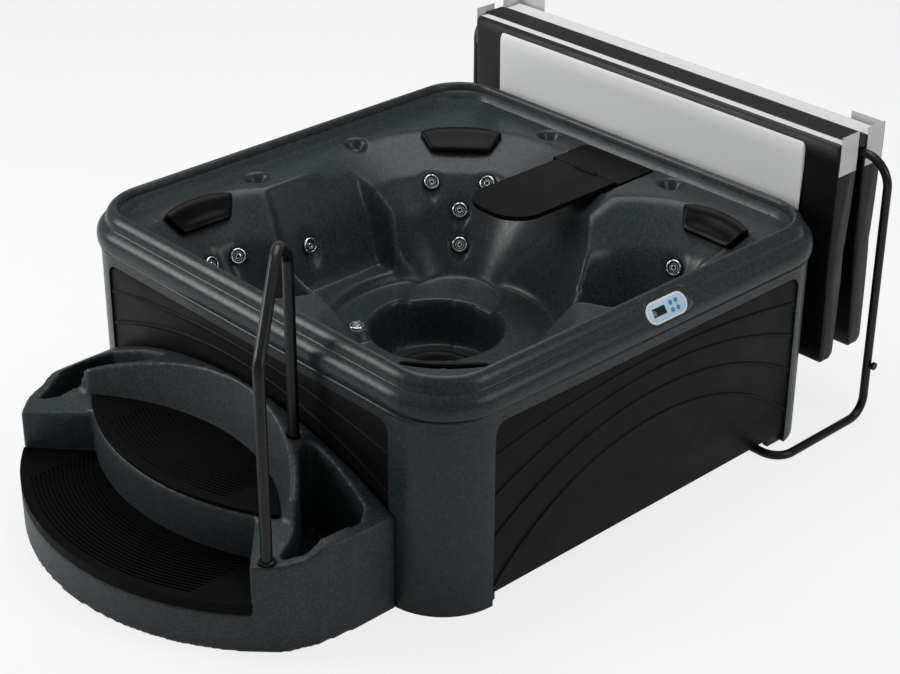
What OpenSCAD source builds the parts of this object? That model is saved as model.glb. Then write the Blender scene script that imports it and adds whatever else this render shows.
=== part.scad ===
// Square plug-in hot tub with a two-tread step, a handrail, a drinks tray over the filter
// and a folded insulating cover that hangs on a tube frame behind it.
// Origin: middle of the tub's base on the floor. +Z up, -Y the step, +X the control panel, +Y the cover.

/* [Tub] */
// Half width of the tub at its widest line
tub_half = 980; // [976:1:986]
// Height of the tub at the crest of its rim
tub_h = 863; // [855:1:880]
// How far the crest of the rim stands in from the widest line
crest_in = 69; // [65:1:73]
// How far the groove between the rim's two bands stands in
groove_in = 33; // [30:1:36]
// Radius of the tub's corners at the widest line
corner_r = 250; // [235:5:280]
// Wall of the moulded shell
shell_wall = 12; // [9:1:15]
// Height of the ledge inside the rim
ledge_z = 800; // [792:1:806]
// Height of the corner seats
seat_z = 345; // [335:5:355]
// Height of the two side benches and the far bench
bench_z = 400; // [385:5:415]
// Height of the floor of the footwell
footwell_z = 160; // [140:5:180]
// Radius of the footwell at its floor
footwell_r = 245; // [230:5:255]
// Radius of a cup holder
cup_r = 38; // [34:1:42]
// Depth of a cup holder
cup_depth = 45; // [30:5:60]

/* [Cabinet] */
// How far the cabinet's corner posts stand in from the rim's widest line
post_in = 13; // [11:1:18]
// How far the outer faces of the side panels stand in from the posts
panel_in = 10; // [8:1:14]
// Thickness of a side panel
panel_t = 12; // [8:1:14]
// Height of the top edge of the side panels
panel_top = 686; // [670:1:690]
// Height of the bottom edge of the side panels
panel_bottom = 40; // [36:1:60]
// Radius of a panel's two top corners
panel_corner_r = 50; // [30:5:70]
// Width of the near corner post
near_post_w = 238; // [227:1:252]
// Width of the other corner posts
far_post_w = 197; // [177:1:217]
// Height of the raised ribs on the panels
rib_h = 4; // [2:1:6]
// Width of the raised ribs on the panels
rib_w = 14; // [10:1:18]
// Thickness of the base pan
pan_t = 20; // [14:1:26]

/* [Fittings] */
// Radius of a jet's turning face
jet_face_r = 30; // [26:1:31]
// Radius of the barrel of a jet
jet_barrel_r = 24; // [20:1:26]
// Length of a neck pillow's section up the slope
pillow_h = 108; // [90:2:112]
// Thickness of a neck pillow
pillow_t = 34; // [26:2:40]
// Length of the control panel's bezel
bezel_l = 195; // [180:5:210]
// Width of the control panel's bezel
bezel_w = 78; // [70:2:84]
// Travel of a control button
button_travel = 1; // [0.8:0.1:1.4]
// Radius of an air control knob
knob_r = 21; // [18:1:22]

/* [Filter and tray] */
// Width of the filter housing
housing_w = 320; // [300:5:330]
// How far the front of the filter housing stands before the tray's hinge
housing_before = 50; // [42:1:57]
// Height of the bottom of the filter housing
housing_z = 250; // [240:5:280]
// Radius of the filter cartridge
cartridge_r = 50; // [42:1:51]
// Half width of the filter's lid
lid_half = 170; // [165:1:175]
// Gap between the filter's lid and the crest of the rim
lid_gap = 33; // [31:1:41]
// Distance from the lid's back edge to the tray's hinge
lid_depth = 191; // [183:1:198]
// Half width of the tray's flap
tray_half = 150; // [140:1:160]
// Length of the tray's flap from its hinge to its free end
tray_l = 515; // [467:5:537]
// Thickness of the lid and the flap
tray_t = 18; // [14:1:20]

/* [Step] */
// Gap between the step and the tub's posts
step_gap = 0.5; // [0.3:0.1:2]
// Radius of the lower tread's front edge
lower_r = 940; // [920:5:950]
// Radius of the riser's arc
riser_r = 930; // [915:5:940]
// Height of the lower tread without its mat
lower_z = 165; // [150:5:180]
// Height of the upper tread without its mat
upper_z = 345; // [335:5:350]
// Height of the back wall at its middle
crest_z = 530; // [516:2:540]
// Height of the back wall at its ends
crest_end_z = 346; // [344:1:352]
// Height of the end blocks at their front corner
block_z = 320; // [310:2:330]
// Wall of the hollow step
step_wall = 14; // [10:1:18]
// Thickness of the tread mats
mat_t = 17; // [12:1:20]
// Height of the mat's edge band on the tread's front
mat_lip = 22; // [14:2:30]
// Radius step between two ribs of a mat
mat_pitch = 15; // [12:1:20]

/* [Handrail] */
// Diameter of the handrail's tube
rail_d = 38; // [32:1:40]
// Wall of the bent steel tubes
tube_wall = 2; // [1.5:0.5:3]
// Height of the handrail's highest point
rail_top = 1254; // [1200:5:1280]
// Height of the bend at the handrail's front post
rail_knee = 1012; // [980:2:1030]

/* [Cover lifter] */
// Diameter of the lifter's tube
lifter_d = 32; // [28:1:34]
// How far the lifter's uprights stand out from the rim
lifter_out = 65; // [50:5:90]
// Place of the lifter's bar under the tub
lifter_under_y = 636; // [600:2:660]
// Height of the joint between base and upper frame
sleeve_z = 258; // [220:2:300]
// Height of the bar that carries the cover
bar_z = 1040; // [1020:5:1060]
// Travel of the lifter's height setting
lift_travel = 75; // [50:5:100]

/* [Cover] */
// How far the sides of the cover stand in from the rim's widest line
cover_in = 60; // [40:5:80]
// Thickness of the cover at its fold
fold_t = 110; // [100:2:114]
// Thickness of the cover at its outer edge
edge_t = 70; // [55:5:90]
// Gap between the rim and the folded cover
cover_gap = 22; // [22:1:30]
// Top of the folded cover
cover_top = 1097; // [1094:1:1110]
// How much shorter a half of the cover is than half the tub
cover_short = 98; // [73:5:113]
// How far the sides of the liner slab stand in from the cover's
liner_in = 150; // [120:5:180]
// Lower end of the liner slab
liner_low = 355; // [340:5:380]
// Thickness of the liner slab
liner_t = 12; // [6:1:16]

/* [Hidden] */
$fn = 64;

drawn_half = 980;   // half width of the tub for which places in plan are given
plan = tub_half / drawn_half;
crest_half = tub_half - crest_in;
groove_half = tub_half - groove_in;
corner_at = tub_half - corner_r;
body_half = tub_half - post_in;
panel_half = body_half - panel_in;
near_post_edge = body_half - near_post_w;
far_post_edge = body_half - far_post_w;
lid_back = crest_half - lid_gap;
hinge_y = lid_back - lid_depth;
housing_front = hinge_y - housing_before;
tray_end = hinge_y - tray_l;
lifter_half = tub_half + lifter_out;
cover_half = tub_half - cover_in;
cover_front = tub_half + cover_gap;
cover_low = cover_top - tub_half + cover_short;
liner_half = cover_half - liner_in;

fit = 0.3;          // clearance between separate pieces
run = 0.05;         // radial clearance of a turning pin or shaft
seat_gap = 0.2;     // clearance of a fixed piece in its seat
over = 1;           // how far a cut runs past the face it opens
tall = 120;         // how far a cavity runs above the ledge
shell_colour = "#3d4646";
black = "#1d1d1e";
black_tube = "#161617";
chrome = "#c9cbcd";
grey = "#bfbfbf";

// Points of the circular arc from a to b that stands sag to the left of the straight line,
// or to the right of it where sag is negative.
function arc_between(a, b, sag, n) =
    let (c = norm(b - a), to_left = (c * c / 4 + sag * sag) / (2 * sag), r = abs(to_left),
        u = (b - a) / c, left = [-u[1], u[0]],
        m = (a + b) / 2 - left * (to_left - sag),
        a0 = atan2(a[1] - m[1], a[0] - m[0]), a1 = atan2(b[1] - m[1], b[0] - m[0]),
        turn = a1 - a0 > 180 ? a1 - a0 - 360 : a1 - a0 < -180 ? a1 - a0 + 360 : a1 - a0)
    [for (i = [0:n]) m + r * [cos(a0 + turn * i / n), sin(a0 + turn * i / n)]];

// Square with round corners whose centres all lie at corner_at.
module round_square(half) {
    square([2 * corner_at, 2 * half], center = true);
    square([2 * half, 2 * corner_at], center = true);
    for (sx = [-1, 1], sy = [-1, 1])
        translate([sx * corner_at, sy * corner_at])
            circle(half - corner_at);
}

// Sweeps a profile of distance and height round the rounded square.
module round_the_tub() {
    for (a = [0:90:270])
        rotate([0, 0, a]) {
            translate([0, corner_at, 0])
                rotate([90, 0, 0])
                    linear_extrude(2 * corner_at)
                        children();
            translate([corner_at, corner_at, 0])
                rotate_extrude(angle = 90)
                    translate([-corner_at, 0])
                        children();
        }
}

module right_and_left() {
    children();
    mirror([1, 0, 0])
        children();
}

// Tubes bent from a line of points: straight lengths and round bends of one radius.
function unit(v) = v / norm(v);
function bend_setback(p, i, r) =
    i == 0 || i == len(p) - 1 ? 0
        : let (turn = acos(unit(p[i] - p[i - 1]) * unit(p[i + 1] - p[i]))) r * tan(turn / 2);

module along(x, y, z, at) {
    multmatrix([[x[0], y[0], z[0], at[0]], [x[1], y[1], z[1], at[1]],
        [x[2], y[2], z[2], at[2]], [0, 0, 0, 1]])
        children();
}

module bar_between(a, b, d) {
    dir = unit(b - a);
    side = unit(cross(abs(dir[2]) < 0.9 ? [0, 0, 1] : [1, 0, 0], dir));
    along(side, cross(dir, side), dir, a)
        cylinder(h = norm(b - a), d = d);
}

module bent_bar(p, r, d) {
    for (i = [0:len(p) - 2]) {
        dir = unit(p[i + 1] - p[i]);
        bar_between(p[i] + dir * bend_setback(p, i, r), p[i + 1] - dir * bend_setback(p, i + 1, r), d);
    }
    for (i = [1:1:len(p) - 2]) {
        d1 = unit(p[i] - p[i - 1]);
        d2 = unit(p[i + 1] - p[i]);
        inward = unit(d2 - (d2 * d1) * d1);
        start = p[i] - d1 * bend_setback(p, i, r);
        along(-inward, d1, cross(-inward, d1), start + inward * r)
            rotate_extrude(angle = acos(d1 * d2))
                translate([r, 0])
                    circle(d = d);
    }
}

// A tube is a bent bar with a thinner bent bar, run past its open ends, taken out.
module bent_tube(p, r, d) {
    n = len(p);
    inner = [for (i = [0:n - 1])
        i == 0 ? p[0] + unit(p[0] - p[1]) * over
            : i == n - 1 ? p[i] + unit(p[i] - p[i - 1]) * over : p[i]];
    difference() {
        bent_bar(p, r, d);
        bent_bar(inner, r, d - 2 * tube_wall);
    }
}

// The rim, the seats and the moulded basin

rim_skin = 12;
rim_edge = body_half - 1;
rim_low = tub_h - 133;
crest = [crest_half, tub_h];
groove = [groove_half, tub_h - 48];
bulge = [tub_half, tub_h - 98];
rim_face = concat(
    [[crest_half - 18, ledge_z]],
    arc_between([crest_half - 16, tub_h - 20], crest, 3, 4),
    arc_between(crest, groove, 7, 6),
    arc_between(groove + [3, -3], bulge, 7, 6),
    arc_between(bulge, [rim_edge, rim_low], 6, 5));
rim_back = [[rim_edge - rim_skin, rim_low], [tub_half - rim_skin - 2, tub_h - 98],
    [groove_half - 8, tub_h - 58], [crest_half + 8, tub_h - 18], [crest_half - 4, tub_h - 22],
    [crest_half - 6, ledge_z - shell_wall], [crest_half - 18, ledge_z - shell_wall]];

// A cavity is cut out of a form like it that is larger by the wall and ends inside the ledge.
function cavity_top(grow) = grow > 0 ? ledge_z - 1 : ledge_z + tall;

// A bowl seat: its axis, then its radii at the seat, lower back, upper back and ledge.
bowl_z = [seat_z, seat_z + 175, 650, ledge_z];
deep_z = [seat_z, 600, 690, ledge_z];
left_seat = [[-350, -580] * plan, [170, 250, 300, 440] * plan, bowl_z];
back_seat = [[-205, 205] * plan, [180, 335, 400, 575] * plan, deep_z];
right_seat = [[600, 333] * plan, [170, 250, 300, 440] * plan, bowl_z];
front_seat = [[430, -432] * plan, [170, 250, 300, 440] * plan, bowl_z];
seats = [left_seat, back_seat, right_seat, front_seat];
basin_low = crest_half - 221;
basin_high = crest_half - 76;
centre = [-30, -15] * plan;
footwell_at = [-70, -15] * plan;
centre_z = seat_z + 15;

function bowl_r(seat, z) = lookup(z, [for (i = [0:3]) [seat[2][i], seat[1][i]]]);
function bowl_slope(seat, z) =
    let (i = z < seat[2][1] ? 0 : z < seat[2][2] ? 1 : 2)
    atan2(seat[2][i + 1] - seat[2][i], seat[1][i + 1] - seat[1][i]);

module bowl(seat, grow) {
    r = seat[1];
    z = seat[2];
    top = cavity_top(grow);
    translate(seat[0])
        rotate_extrude()
            polygon(concat([[0, z[0] - grow], [r[0] + grow, z[0] - grow], [r[1] + grow, z[1]],
                [r[2] + grow, z[2]], [r[3] + grow, min(z[3], top)]],
                grow > 0 ? [] : [[r[3], top]], [[0, top]]));
}

// A straight bench across the tub: a level seat and a back that leans outwards.
bench_depth = [540, 605, 690] * plan;
module bench(turn, from, to, grow) {
    rotate([0, 0, turn])
        translate([0, to, 0])
            rotate([90, 0, 0])
                linear_extrude(to - from)
                    polygon(concat([[0, bench_z - grow], [bench_depth[0] + grow, bench_z - grow],
                        [bench_depth[1] + grow, 600], [bench_depth[2] + grow, cavity_top(grow)]],
                        [[0, cavity_top(grow)]]));
}

well_back = hinge_y + 73;
well_shelf = 560;
lid_floor = ledge_z - tray_t;
module filter_well(grow) {
    top = cavity_top(grow);
    half = housing_w / 2 + fit + grow;
    translate([-half, 300, housing_z - fit - grow])
        cube([2 * half, well_back + fit + grow - 300, top - housing_z + fit + grow]);
    translate([-half, 600, well_shelf - fit - grow])
        cube([2 * half, lid_back - 8 + fit + grow - 600, top - well_shelf + fit + grow]);
}

cup_x = 121 - crest_half;
cup_y = crest_half - 76;
cup_places = [[cup_x, -265 * plan], [cup_x, 225 * plan], [-330 * plan, cup_y], [300 * plan, cup_y]];
module basin_space(grow) {
    top = cavity_top(grow);
    intersection() {
        intersection_for (a = [0, 90])
            rotate([0, 0, a])
                translate([0, tub_half, 0])
                    rotate([90, 0, 0])
                        linear_extrude(2 * tub_half)
                            basin_section(grow);
        union() {
            for (seat = seats)
                bowl(seat, grow);
            bench(180, -120 * plan, 300 * plan, grow);
            bench(0, -230 * plan, 110 * plan, grow);
            bench(-90, -150 * plan, 240 * plan, grow);
            translate(centre)
                rotate_extrude()
                    polygon([[0, centre_z - grow], [420 * plan + grow, centre_z - grow],
                        [560 * plan + grow, ledge_z], [560 * plan + grow, top], [0, top]]);
            translate(footwell_at)
                rotate_extrude()
                    polygon([[0, footwell_z - grow], [footwell_r + grow, footwell_z - grow],
                        [footwell_r + grow, centre_z + over], [0, centre_z + over]]);
        }
    }
    filter_well(grow);
    for (at = cup_places)
        translate([at[0], at[1], ledge_z - cup_depth - grow])
            cylinder(h = top - ledge_z + cup_depth + grow, r = cup_r + grow);
}

module basin_section(grow) {
    polygon([[-basin_low - grow, 100], [basin_low + grow, 100], [basin_high + grow, ledge_z],
        [basin_high + grow, ledge_z + tall], [-basin_high - grow, ledge_z + tall],
        [-basin_high - grow, ledge_z]]);
}

// Jets: each has its place, its turn about Z and its tilt. A seat's jets follow its bowl.
function bowl_jet(seat, az, z) =
    [[seat[0][0] + bowl_r(seat, z) * cos(az), seat[0][1] + bowl_r(seat, z) * sin(az), z],
        az, bowl_slope(seat, z)];
nub_z = 400;
bench_jet_z = 560;
bench_jet_slope = atan2(600 - bench_z, bench_depth[1] - bench_depth[0]);
bench_jet_x = -bench_depth[0] - (bench_jet_z - bench_z) / tan(bench_jet_slope);
nub_at = [-215, -278] * plan;
jets = [
    bowl_jet(back_seat, 150.4, 665),
    bowl_jet(back_seat, 117.4, 665),
    bowl_jet(back_seat, 133, 570),
    bowl_jet(back_seat, 132, 455),
    bowl_jet(left_seat, -174, 610),
    bowl_jet(left_seat, 163, 610),
    bowl_jet(left_seat, -150, 610),
    bowl_jet(right_seat, 105, 610),
    [[bench_jet_x, -180 * plan, bench_jet_z], 180, bench_jet_slope],
    [[nub_at[0], nub_at[1], nub_z], 0, 0]];
jet_flange_r = jet_face_r + 5;
jet_recess = 5;
jet_flange_t = 4;
module at_jet(i) {
    translate(jets[i][0])
        rotate([0, -jets[i][2], jets[i][1]])
            children();
}

module jet_cuts() {
    for (i = [0:len(jets) - 1])
        at_jet(i) {
            translate([0, 0, -jet_recess])
                cylinder(h = 40, r = jet_flange_r + fit);
            translate([0, 0, -60])
                cylinder(h = 70, r = jet_barrel_r + fit);
        }
}

disc_r = 168;
suction_z = footwell_z + 90;
suction_recess = 1;
suction_neck = 38;
module at_suction() {
    translate([footwell_at[0] + footwell_r, footwell_at[1], suction_z])
        rotate([0, -90, 0])
            children();
}

module tub_shell() {
    color(shell_colour)
        difference() {
            union() {
                round_the_tub()
                    polygon(concat(rim_face, rim_back));
                translate([0, 0, ledge_z - shell_wall])
                    linear_extrude(shell_wall)
                        round_square(crest_half - 12);
                translate([-lid_half - 10, hinge_y - 30, lid_floor - shell_wall])
                    cube([2 * lid_half + 20, lid_back + 12 - hinge_y + 30, shell_wall + 2]);
                basin_space(shell_wall);
            }
            difference() {
                basin_space(0);
                translate([nub_at[0], nub_at[1], centre_z - 2])
                    cylinder(h = nub_z - centre_z + 2, r1 = 52, r2 = 43);
            }
            translate([-lid_half - fit, hinge_y - 40, lid_floor])
                cube([2 * lid_half + 2 * fit, lid_back + fit - hinge_y + 40, tall]);
            jet_cuts();
            bezel_pocket();
            at_suction() {
                translate([0, 0, -suction_recess])
                    cylinder(h = 40, r = 62);
                translate([0, 0, -40])
                    cylinder(h = 60, r = 25 + fit);
            }
            for (at = knob_places)
                translate([at[0], at[1], ledge_z - 30])
                    cylinder(h = 60, r = knob_stem_r + run);
            translate([footwell_at[0], footwell_at[1], footwell_z - 60])
                cylinder(h = 80, r = drain_neck_r + fit);
        }
}

// Cabinet: four corner posts joined by a band, four lift-off panels and the base pan

band_top = rim_low - fit;
rebate_half = panel_half - panel_t - fit;
post_lap = 30;
post_from = near_post_edge - post_lap;
band_face = concat(
    [[rebate_half - 22, panel_top - 30], [rebate_half, panel_top - 30], [rebate_half, panel_top + fit],
        [body_half, panel_top + fit], [body_half, rim_low - 18]],
    arc_between([body_half, rim_low - 16], [body_half - 1, band_top], -5, 5),
    [[rebate_half - 22, band_top]]);

module panel_outline(lo, hi, z0, z1) {
    translate([lo, z0])
        square([hi - lo, z1 - z0 - panel_corner_r]);
    translate([lo + panel_corner_r, z0])
        square([hi - lo - 2 * panel_corner_r, z1 - z0]);
    for (x = [lo + panel_corner_r, hi - panel_corner_r])
        translate([x, z1 - panel_corner_r])
            circle(panel_corner_r);
}

// Each side: the turn that brings it to +X, and the ends of its panel from left to right seen from outside.
side_x = [0, -near_post_edge, far_post_edge];
side_front = [-90, -far_post_edge, near_post_edge];
side_left = [180, -far_post_edge, far_post_edge];
side_back = [90, -far_post_edge, far_post_edge];

module stand_on_side(side, depth) {
    rotate([0, 0, side[0]])
        translate([depth, 0, 0])
            rotate([90, 0, 90])
                children();
}

module cabinet_frame() {
    color(shell_colour)
        difference() {
            union() {
                round_the_tub()
                    polygon(band_face);
                for (side = [side_x, side_front, side_left, side_back])
                    post_halves(side);
            }
            for (side = [side_x, side_front, side_left, side_back])
                stand_on_side(side, rebate_half)
                    linear_extrude(60)
                        panel_outline(side[1] - fit, side[2] + fit, -over, panel_top + fit);
        }
}

module post_halves(side) {
    rotate([0, 0, side[0]])
        linear_extrude(panel_top)
            intersection() {
                difference() {
                    round_square(body_half);
                    round_square(rebate_half - 22);
                }
                union() {
                    translate([post_from, -1100])
                        square([400, 1100 + side[1] + post_lap]);
                    translate([post_from, side[2] - post_lap])
                        square([400, 1100 - side[2] + post_lap]);
                }
            }
}

// The ribs on a panel are arcs about points below it: peak height and radius of each.
rib_arcs = [[640, 3842, -1], [585, 1845, -1], [503, 1342, -1], [398, 1071, -1]];
rib_shift = 60;
module panel(side, lean) {
    color(black)
        stand_on_side(side, panel_half - panel_t)
            union() {
                linear_extrude(panel_t)
                    panel_outline(side[1] + 1, side[2] - 1, panel_bottom, panel_top - 1);
                translate([0, 0, panel_t - 1])
                    linear_extrude(rib_h + 1)
                        intersection() {
                            translate([side[1] + 8, panel_bottom + 8])
                                square([side[2] - side[1] - 16, panel_top - panel_bottom - 16]);
                            for (arc = rib_arcs)
                                translate([lean * rib_shift, arc[0] - arc[1]])
                                    difference() {
                                        circle(arc[1], $fn = 128);
                                        circle(arc[1] - rib_w, $fn = 128);
                                    }
                        }
            }
}

bearer_half = panel_half - 107;
bearer_w = 80;
module base_pan() {
    color(black)
        union() {
            translate([0, 0, panel_bottom + 4])
                linear_extrude(pan_t)
                    round_square(rebate_half - 22 - fit);
            for (y = [-800, -400, 0, 400, 820] * plan)
                translate([-bearer_half, y - bearer_w / 2, 0])
                    cube([2 * bearer_half, bearer_w, panel_bottom + 5]);
        }
}

module panel_front() { panel(side_front, -1); }
module panel_access() { panel(side_x, 1); }
module panel_left() {
    color(black)
        difference() {
            panel(side_left, 1);
            translate([-panel_half - 20, footwell_at[1], drain_run_z - 5])
                rotate([0, 90, 0])
                    cylinder(h = 60, d = drain_d + 2 * fit);
        }
}
module panel_back() { panel(side_back, -1); }

// Neck pillows: a curved pad that lies on the sloping top of a seat's back

pillow_rings = 14;
pillow_points = 14;
module pillow(seat, az, half_angle, r_mid) {
    slope = bowl_slope(seat, ledge_z - 10);
    z_mid = seat[2][3] - (seat[1][3] - r_mid) * tan(slope);
    along_slope = [cos(slope), sin(slope)];
    off_slope = [-sin(slope), cos(slope)];
    ring = function (t)
        let (end = pow(abs(t), 5), hi = pillow_h / 2 * (1 - 0.16 * end), th = pillow_t * (1 - 0.45 * end),
            bow = 6 * (1 - t * t))
        [for (k = [0:pillow_points - 1])
            let (a = 360 * k / pillow_points, c = cos(a), s = sin(a),
                u = (hi + bow) * sign(c) * pow(abs(c), 0.6),
                v = 2 * fit + th * (0.5 + 0.5 * sign(s) * pow(abs(s), 0.7)),
                p = [r_mid, z_mid] + along_slope * u + off_slope * v)
            [p[0] * cos(half_angle * t), p[0] * sin(half_angle * t), p[1]]];
    rings = [for (i = [0:pillow_rings]) ring(2 * i / pillow_rings - 1)];
    n = pillow_points;
    points = [for (r = rings) for (p = r) p];
    walls = [for (i = [0:pillow_rings - 1], k = [0:n - 1])
        let (a = i * n + k, b = i * n + (k + 1) % n)
        each [[a, a + n, b], [b, a + n, b + n]]];
    last = pillow_rings * n;
    caps = concat([for (k = [1:n - 2]) [0, k, k + 1]],
        [for (k = [1:n - 2]) [last, last + k + 1, last + k]]);
    color(black)
        translate([seat[0][0], seat[0][1], 0])
            rotate([0, 0, az])
                polyhedron(points, concat(walls, caps), convexity = 4);
}

module pillow_left() { pillow(left_seat, 179, 20.5, 398 * plan); }
module pillow_back() { pillow(back_seat, 134, 16, 523 * plan); }
module pillow_right() { pillow(right_seat, 89, 20.5, 398 * plan); }
module pillow_front() { pillow(front_seat, -45, 20.5, 398 * plan); }

// Jets, suction cover and the disc in the footwell

module jet_bodies() {
    color("#2b2d2e")
        for (i = [0:len(jets) - 1])
            at_jet(i)
                difference() {
                    union() {
                        translate([0, 0, -jet_recess + seat_gap])
                            cylinder(h = jet_flange_t, r = jet_flange_r);
                        translate([0, 0, -52])
                            cylinder(h = 52 - jet_recess + seat_gap + over, r = jet_barrel_r);
                    }
                    translate([0, 0, -40])
                        cylinder(h = 60, r = jet_barrel_r - 6);
                }
}

jet_seat = -jet_recess + seat_gap + jet_flange_t + fit;
module jet_face(i) {
    color(chrome)
        at_jet(i)
            difference() {
                union() {
                    translate([0, 0, jet_seat])
                        rotate_extrude()
                            polygon([[0, 0], [jet_face_r, 0], [jet_face_r, 3], [jet_face_r - 6, 8],
                                [jet_face_r - 10, 8], [jet_face_r - 14, 4], [0, 4]]);
                    translate([0, 0, jet_seat - 20])
                        cylinder(h = 21, r = jet_barrel_r - 6 - fit);
                    translate([0, 0, jet_seat + 3])
                        cylinder(h = 9, r = 11);
                    for (a = [0:120:240])
                        rotate([0, 0, a])
                            translate([10, -2, jet_seat + 3])
                                cube([8, 4, 5]);
                }
                translate([0, 0, jet_seat - 30])
                    cylinder(h = 60, r = 6);
            }
}

module jet_face_1() { jet_face(0); }
module jet_face_2() { jet_face(1); }
module jet_face_3() { jet_face(2); }
module jet_face_4() { jet_face(3); }
module jet_face_5() { jet_face(4); }
module jet_face_6() { jet_face(5); }
module jet_face_7() { jet_face(6); }
module jet_face_8() { jet_face(7); }
module jet_face_9() { jet_face(8); }
module jet_face_10() { jet_face(9); }

module suction_cover() {
    color(black)
        at_suction()
            difference() {
                union() {
                    translate([0, 0, -suction_recess + seat_gap])
                        cylinder(h = 16, r1 = 60, r2 = 52);
                    translate([0, 0, -suction_neck])
                        cylinder(h = suction_neck, r = 25);
                }
                translate([0, 0, -50])
                    cylinder(h = 60, r = 20);
                for (a = [0:30:330])
                    rotate([0, 0, a])
                        translate([38, 0, 8])
                            cylinder(h = 20, r = 5, $fn = 24);
            }
}

drain_neck_r = 22;
drain_run_z = 90;
module footwell_disc() {
    color(black)
        translate([footwell_at[0], footwell_at[1], 0])
            difference() {
                union() {
                    translate([0, 0, footwell_z + fit])
                        cylinder(h = 8, r = disc_r);
                    translate([0, 0, drain_run_z + 25])
                        cylinder(h = footwell_z + 2 - drain_run_z - 25, r = drain_neck_r);
                }
                translate([0, 0, drain_run_z])
                    cylinder(h = footwell_z + 4 - drain_run_z, r = drain_neck_r - 5);
                for (a = [0:20:340])
                    rotate([0, 0, a])
                        translate([120, 0, footwell_z - over])
                            cylinder(h = 20, r = 5, $fn = 24);
            }
}

// Filter: housing with a slotted front, cartridge, lid and the tray that hinges on the lid

cartridge_at = hinge_y + 13;
cartridge_low = housing_z + 14;
module filter_housing() {
    half = housing_w / 2;
    color(black)
        difference() {
            union() {
                translate([-half, housing_front, housing_z])
                    cube([housing_w, well_back - housing_front, lid_floor - fit - housing_z]);
                translate([-half, housing_front, well_shelf])
                    cube([housing_w, lid_back - 8 - housing_front, lid_floor - fit - well_shelf]);
            }
            for (x = [-80, 80])
                translate([x, cartridge_at, housing_z + 12])
                    cylinder(h = 600, r = cartridge_r + 2);
            translate([-half + 8, cartridge_at + 10, well_shelf + 10])
                cube([housing_w - 16, lid_back - 16 - cartridge_at - 10, 400]);
            for (i = [-3:3])
                translate([i * 42 - 7, housing_front - over, housing_z + 30])
                    cube([14, 40, 420]);
        }
}

module filter_cartridge() {
    color("#e8eaec")
        for (x = [-80, 80])
            translate([x, cartridge_at, cartridge_low - 2 + fit])
                difference() {
                    union() {
                        cylinder(h = 420, r = cartridge_r - 4);
                        cylinder(h = 16, r = cartridge_r);
                        translate([0, 0, 404])
                            cylinder(h = 16, r = cartridge_r);
                    }
                    translate([0, 0, 20])
                        cylinder(h = 420, r = 18);
                }
}

pin_r = 3;
knuckle_r = 7;
pin_z = ledge_z + 1.5;
knuckle_half = 22;
knuckle_l = 30;
module lid_plate(y0, y1) {
    translate([-lid_half, y0, lid_floor + fit])
        cube([2 * lid_half, y1 - y0, tray_t - fit]);
}

module knuckle(x0, x1) {
    translate([x0, hinge_y, pin_z])
        rotate([0, 90, 0])
            cylinder(h = x1 - x0, r = knuckle_r);
}

module filter_lid() {
    color(black)
        difference() {
            union() {
                lid_plate(hinge_y + 2, lid_back);
                knuckle(-knuckle_half, knuckle_half);
                translate([-knuckle_half, hinge_y, lid_floor + fit])
                    cube([2 * knuckle_half, 10, tray_t - fit]);
            }
            right_and_left()
                translate([knuckle_half, hinge_y - knuckle_r - over, lid_floor - over])
                    cube([knuckle_l + over, 2 * knuckle_r + 2 * over + 1, tray_t + 20]);
            translate([-60, hinge_y, pin_z])
                rotate([0, 90, 0])
                    cylinder(h = 120, r = pin_r + run);
        }
}

module tray_flap() {
    end_r = 120;
    color(black)
        difference() {
            union() {
                translate([0, 0, ledge_z - tray_t])
                    linear_extrude(tray_t)
                        union() {
                            translate([-tray_half, tray_end + end_r])
                                square([2 * tray_half, hinge_y - 2 - tray_end - end_r]);
                            translate([-tray_half + end_r, tray_end])
                                square([2 * tray_half - 2 * end_r, end_r + 1]);
                            for (s = [-1, 1])
                                translate([s * (tray_half - end_r), tray_end + end_r])
                                    circle(end_r);
                        }
                right_and_left() {
                    knuckle(knuckle_half + fit, knuckle_half + knuckle_l);
                    translate([knuckle_half + fit, hinge_y - 8, ledge_z - tray_t])
                        cube([knuckle_l - fit, 8, tray_t]);
                }
            }
            translate([-knuckle_half - fit, hinge_y - knuckle_r - fit, ledge_z - tray_t - over])
                cube([2 * knuckle_half + 2 * fit, 20, tray_t + 20]);
            translate([-60, hinge_y, pin_z])
                rotate([0, 90, 0])
                    cylinder(h = 120, r = pin_r + run);
        }
}

module tray_pin() {
    color(chrome)
        translate([-knuckle_half - knuckle_l, hinge_y, pin_z])
            rotate([0, 90, 0])
                cylinder(h = 2 * (knuckle_half + knuckle_l), r = pin_r);
}

// Control panel on the rim, its display and four buttons, and two air knobs on the ledge

bezel_at = [(crest_half + tub_half) / 2 + 9.5, 65, (crest[1] + bulge[1]) / 2 - 10];
bezel_tilt = atan2(crest[1] - bulge[1], tub_half - crest_half);
bezel_t = 14;
bezel_sink = 9;
module at_bezel() {
    translate(bezel_at)
        rotate([0, bezel_tilt, 0])
            children();
}

module stadium(l, w) {
    square([w, l - w], center = true);
    for (s = [-1, 1])
        translate([0, s * (l - w) / 2])
            circle(d = w);
}

module bezel_pocket() {
    at_bezel()
        translate([0, 0, -bezel_sink])
            linear_extrude(60)
                stadium(bezel_l + 2 * fit, bezel_w + 2 * fit);
}

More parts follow.
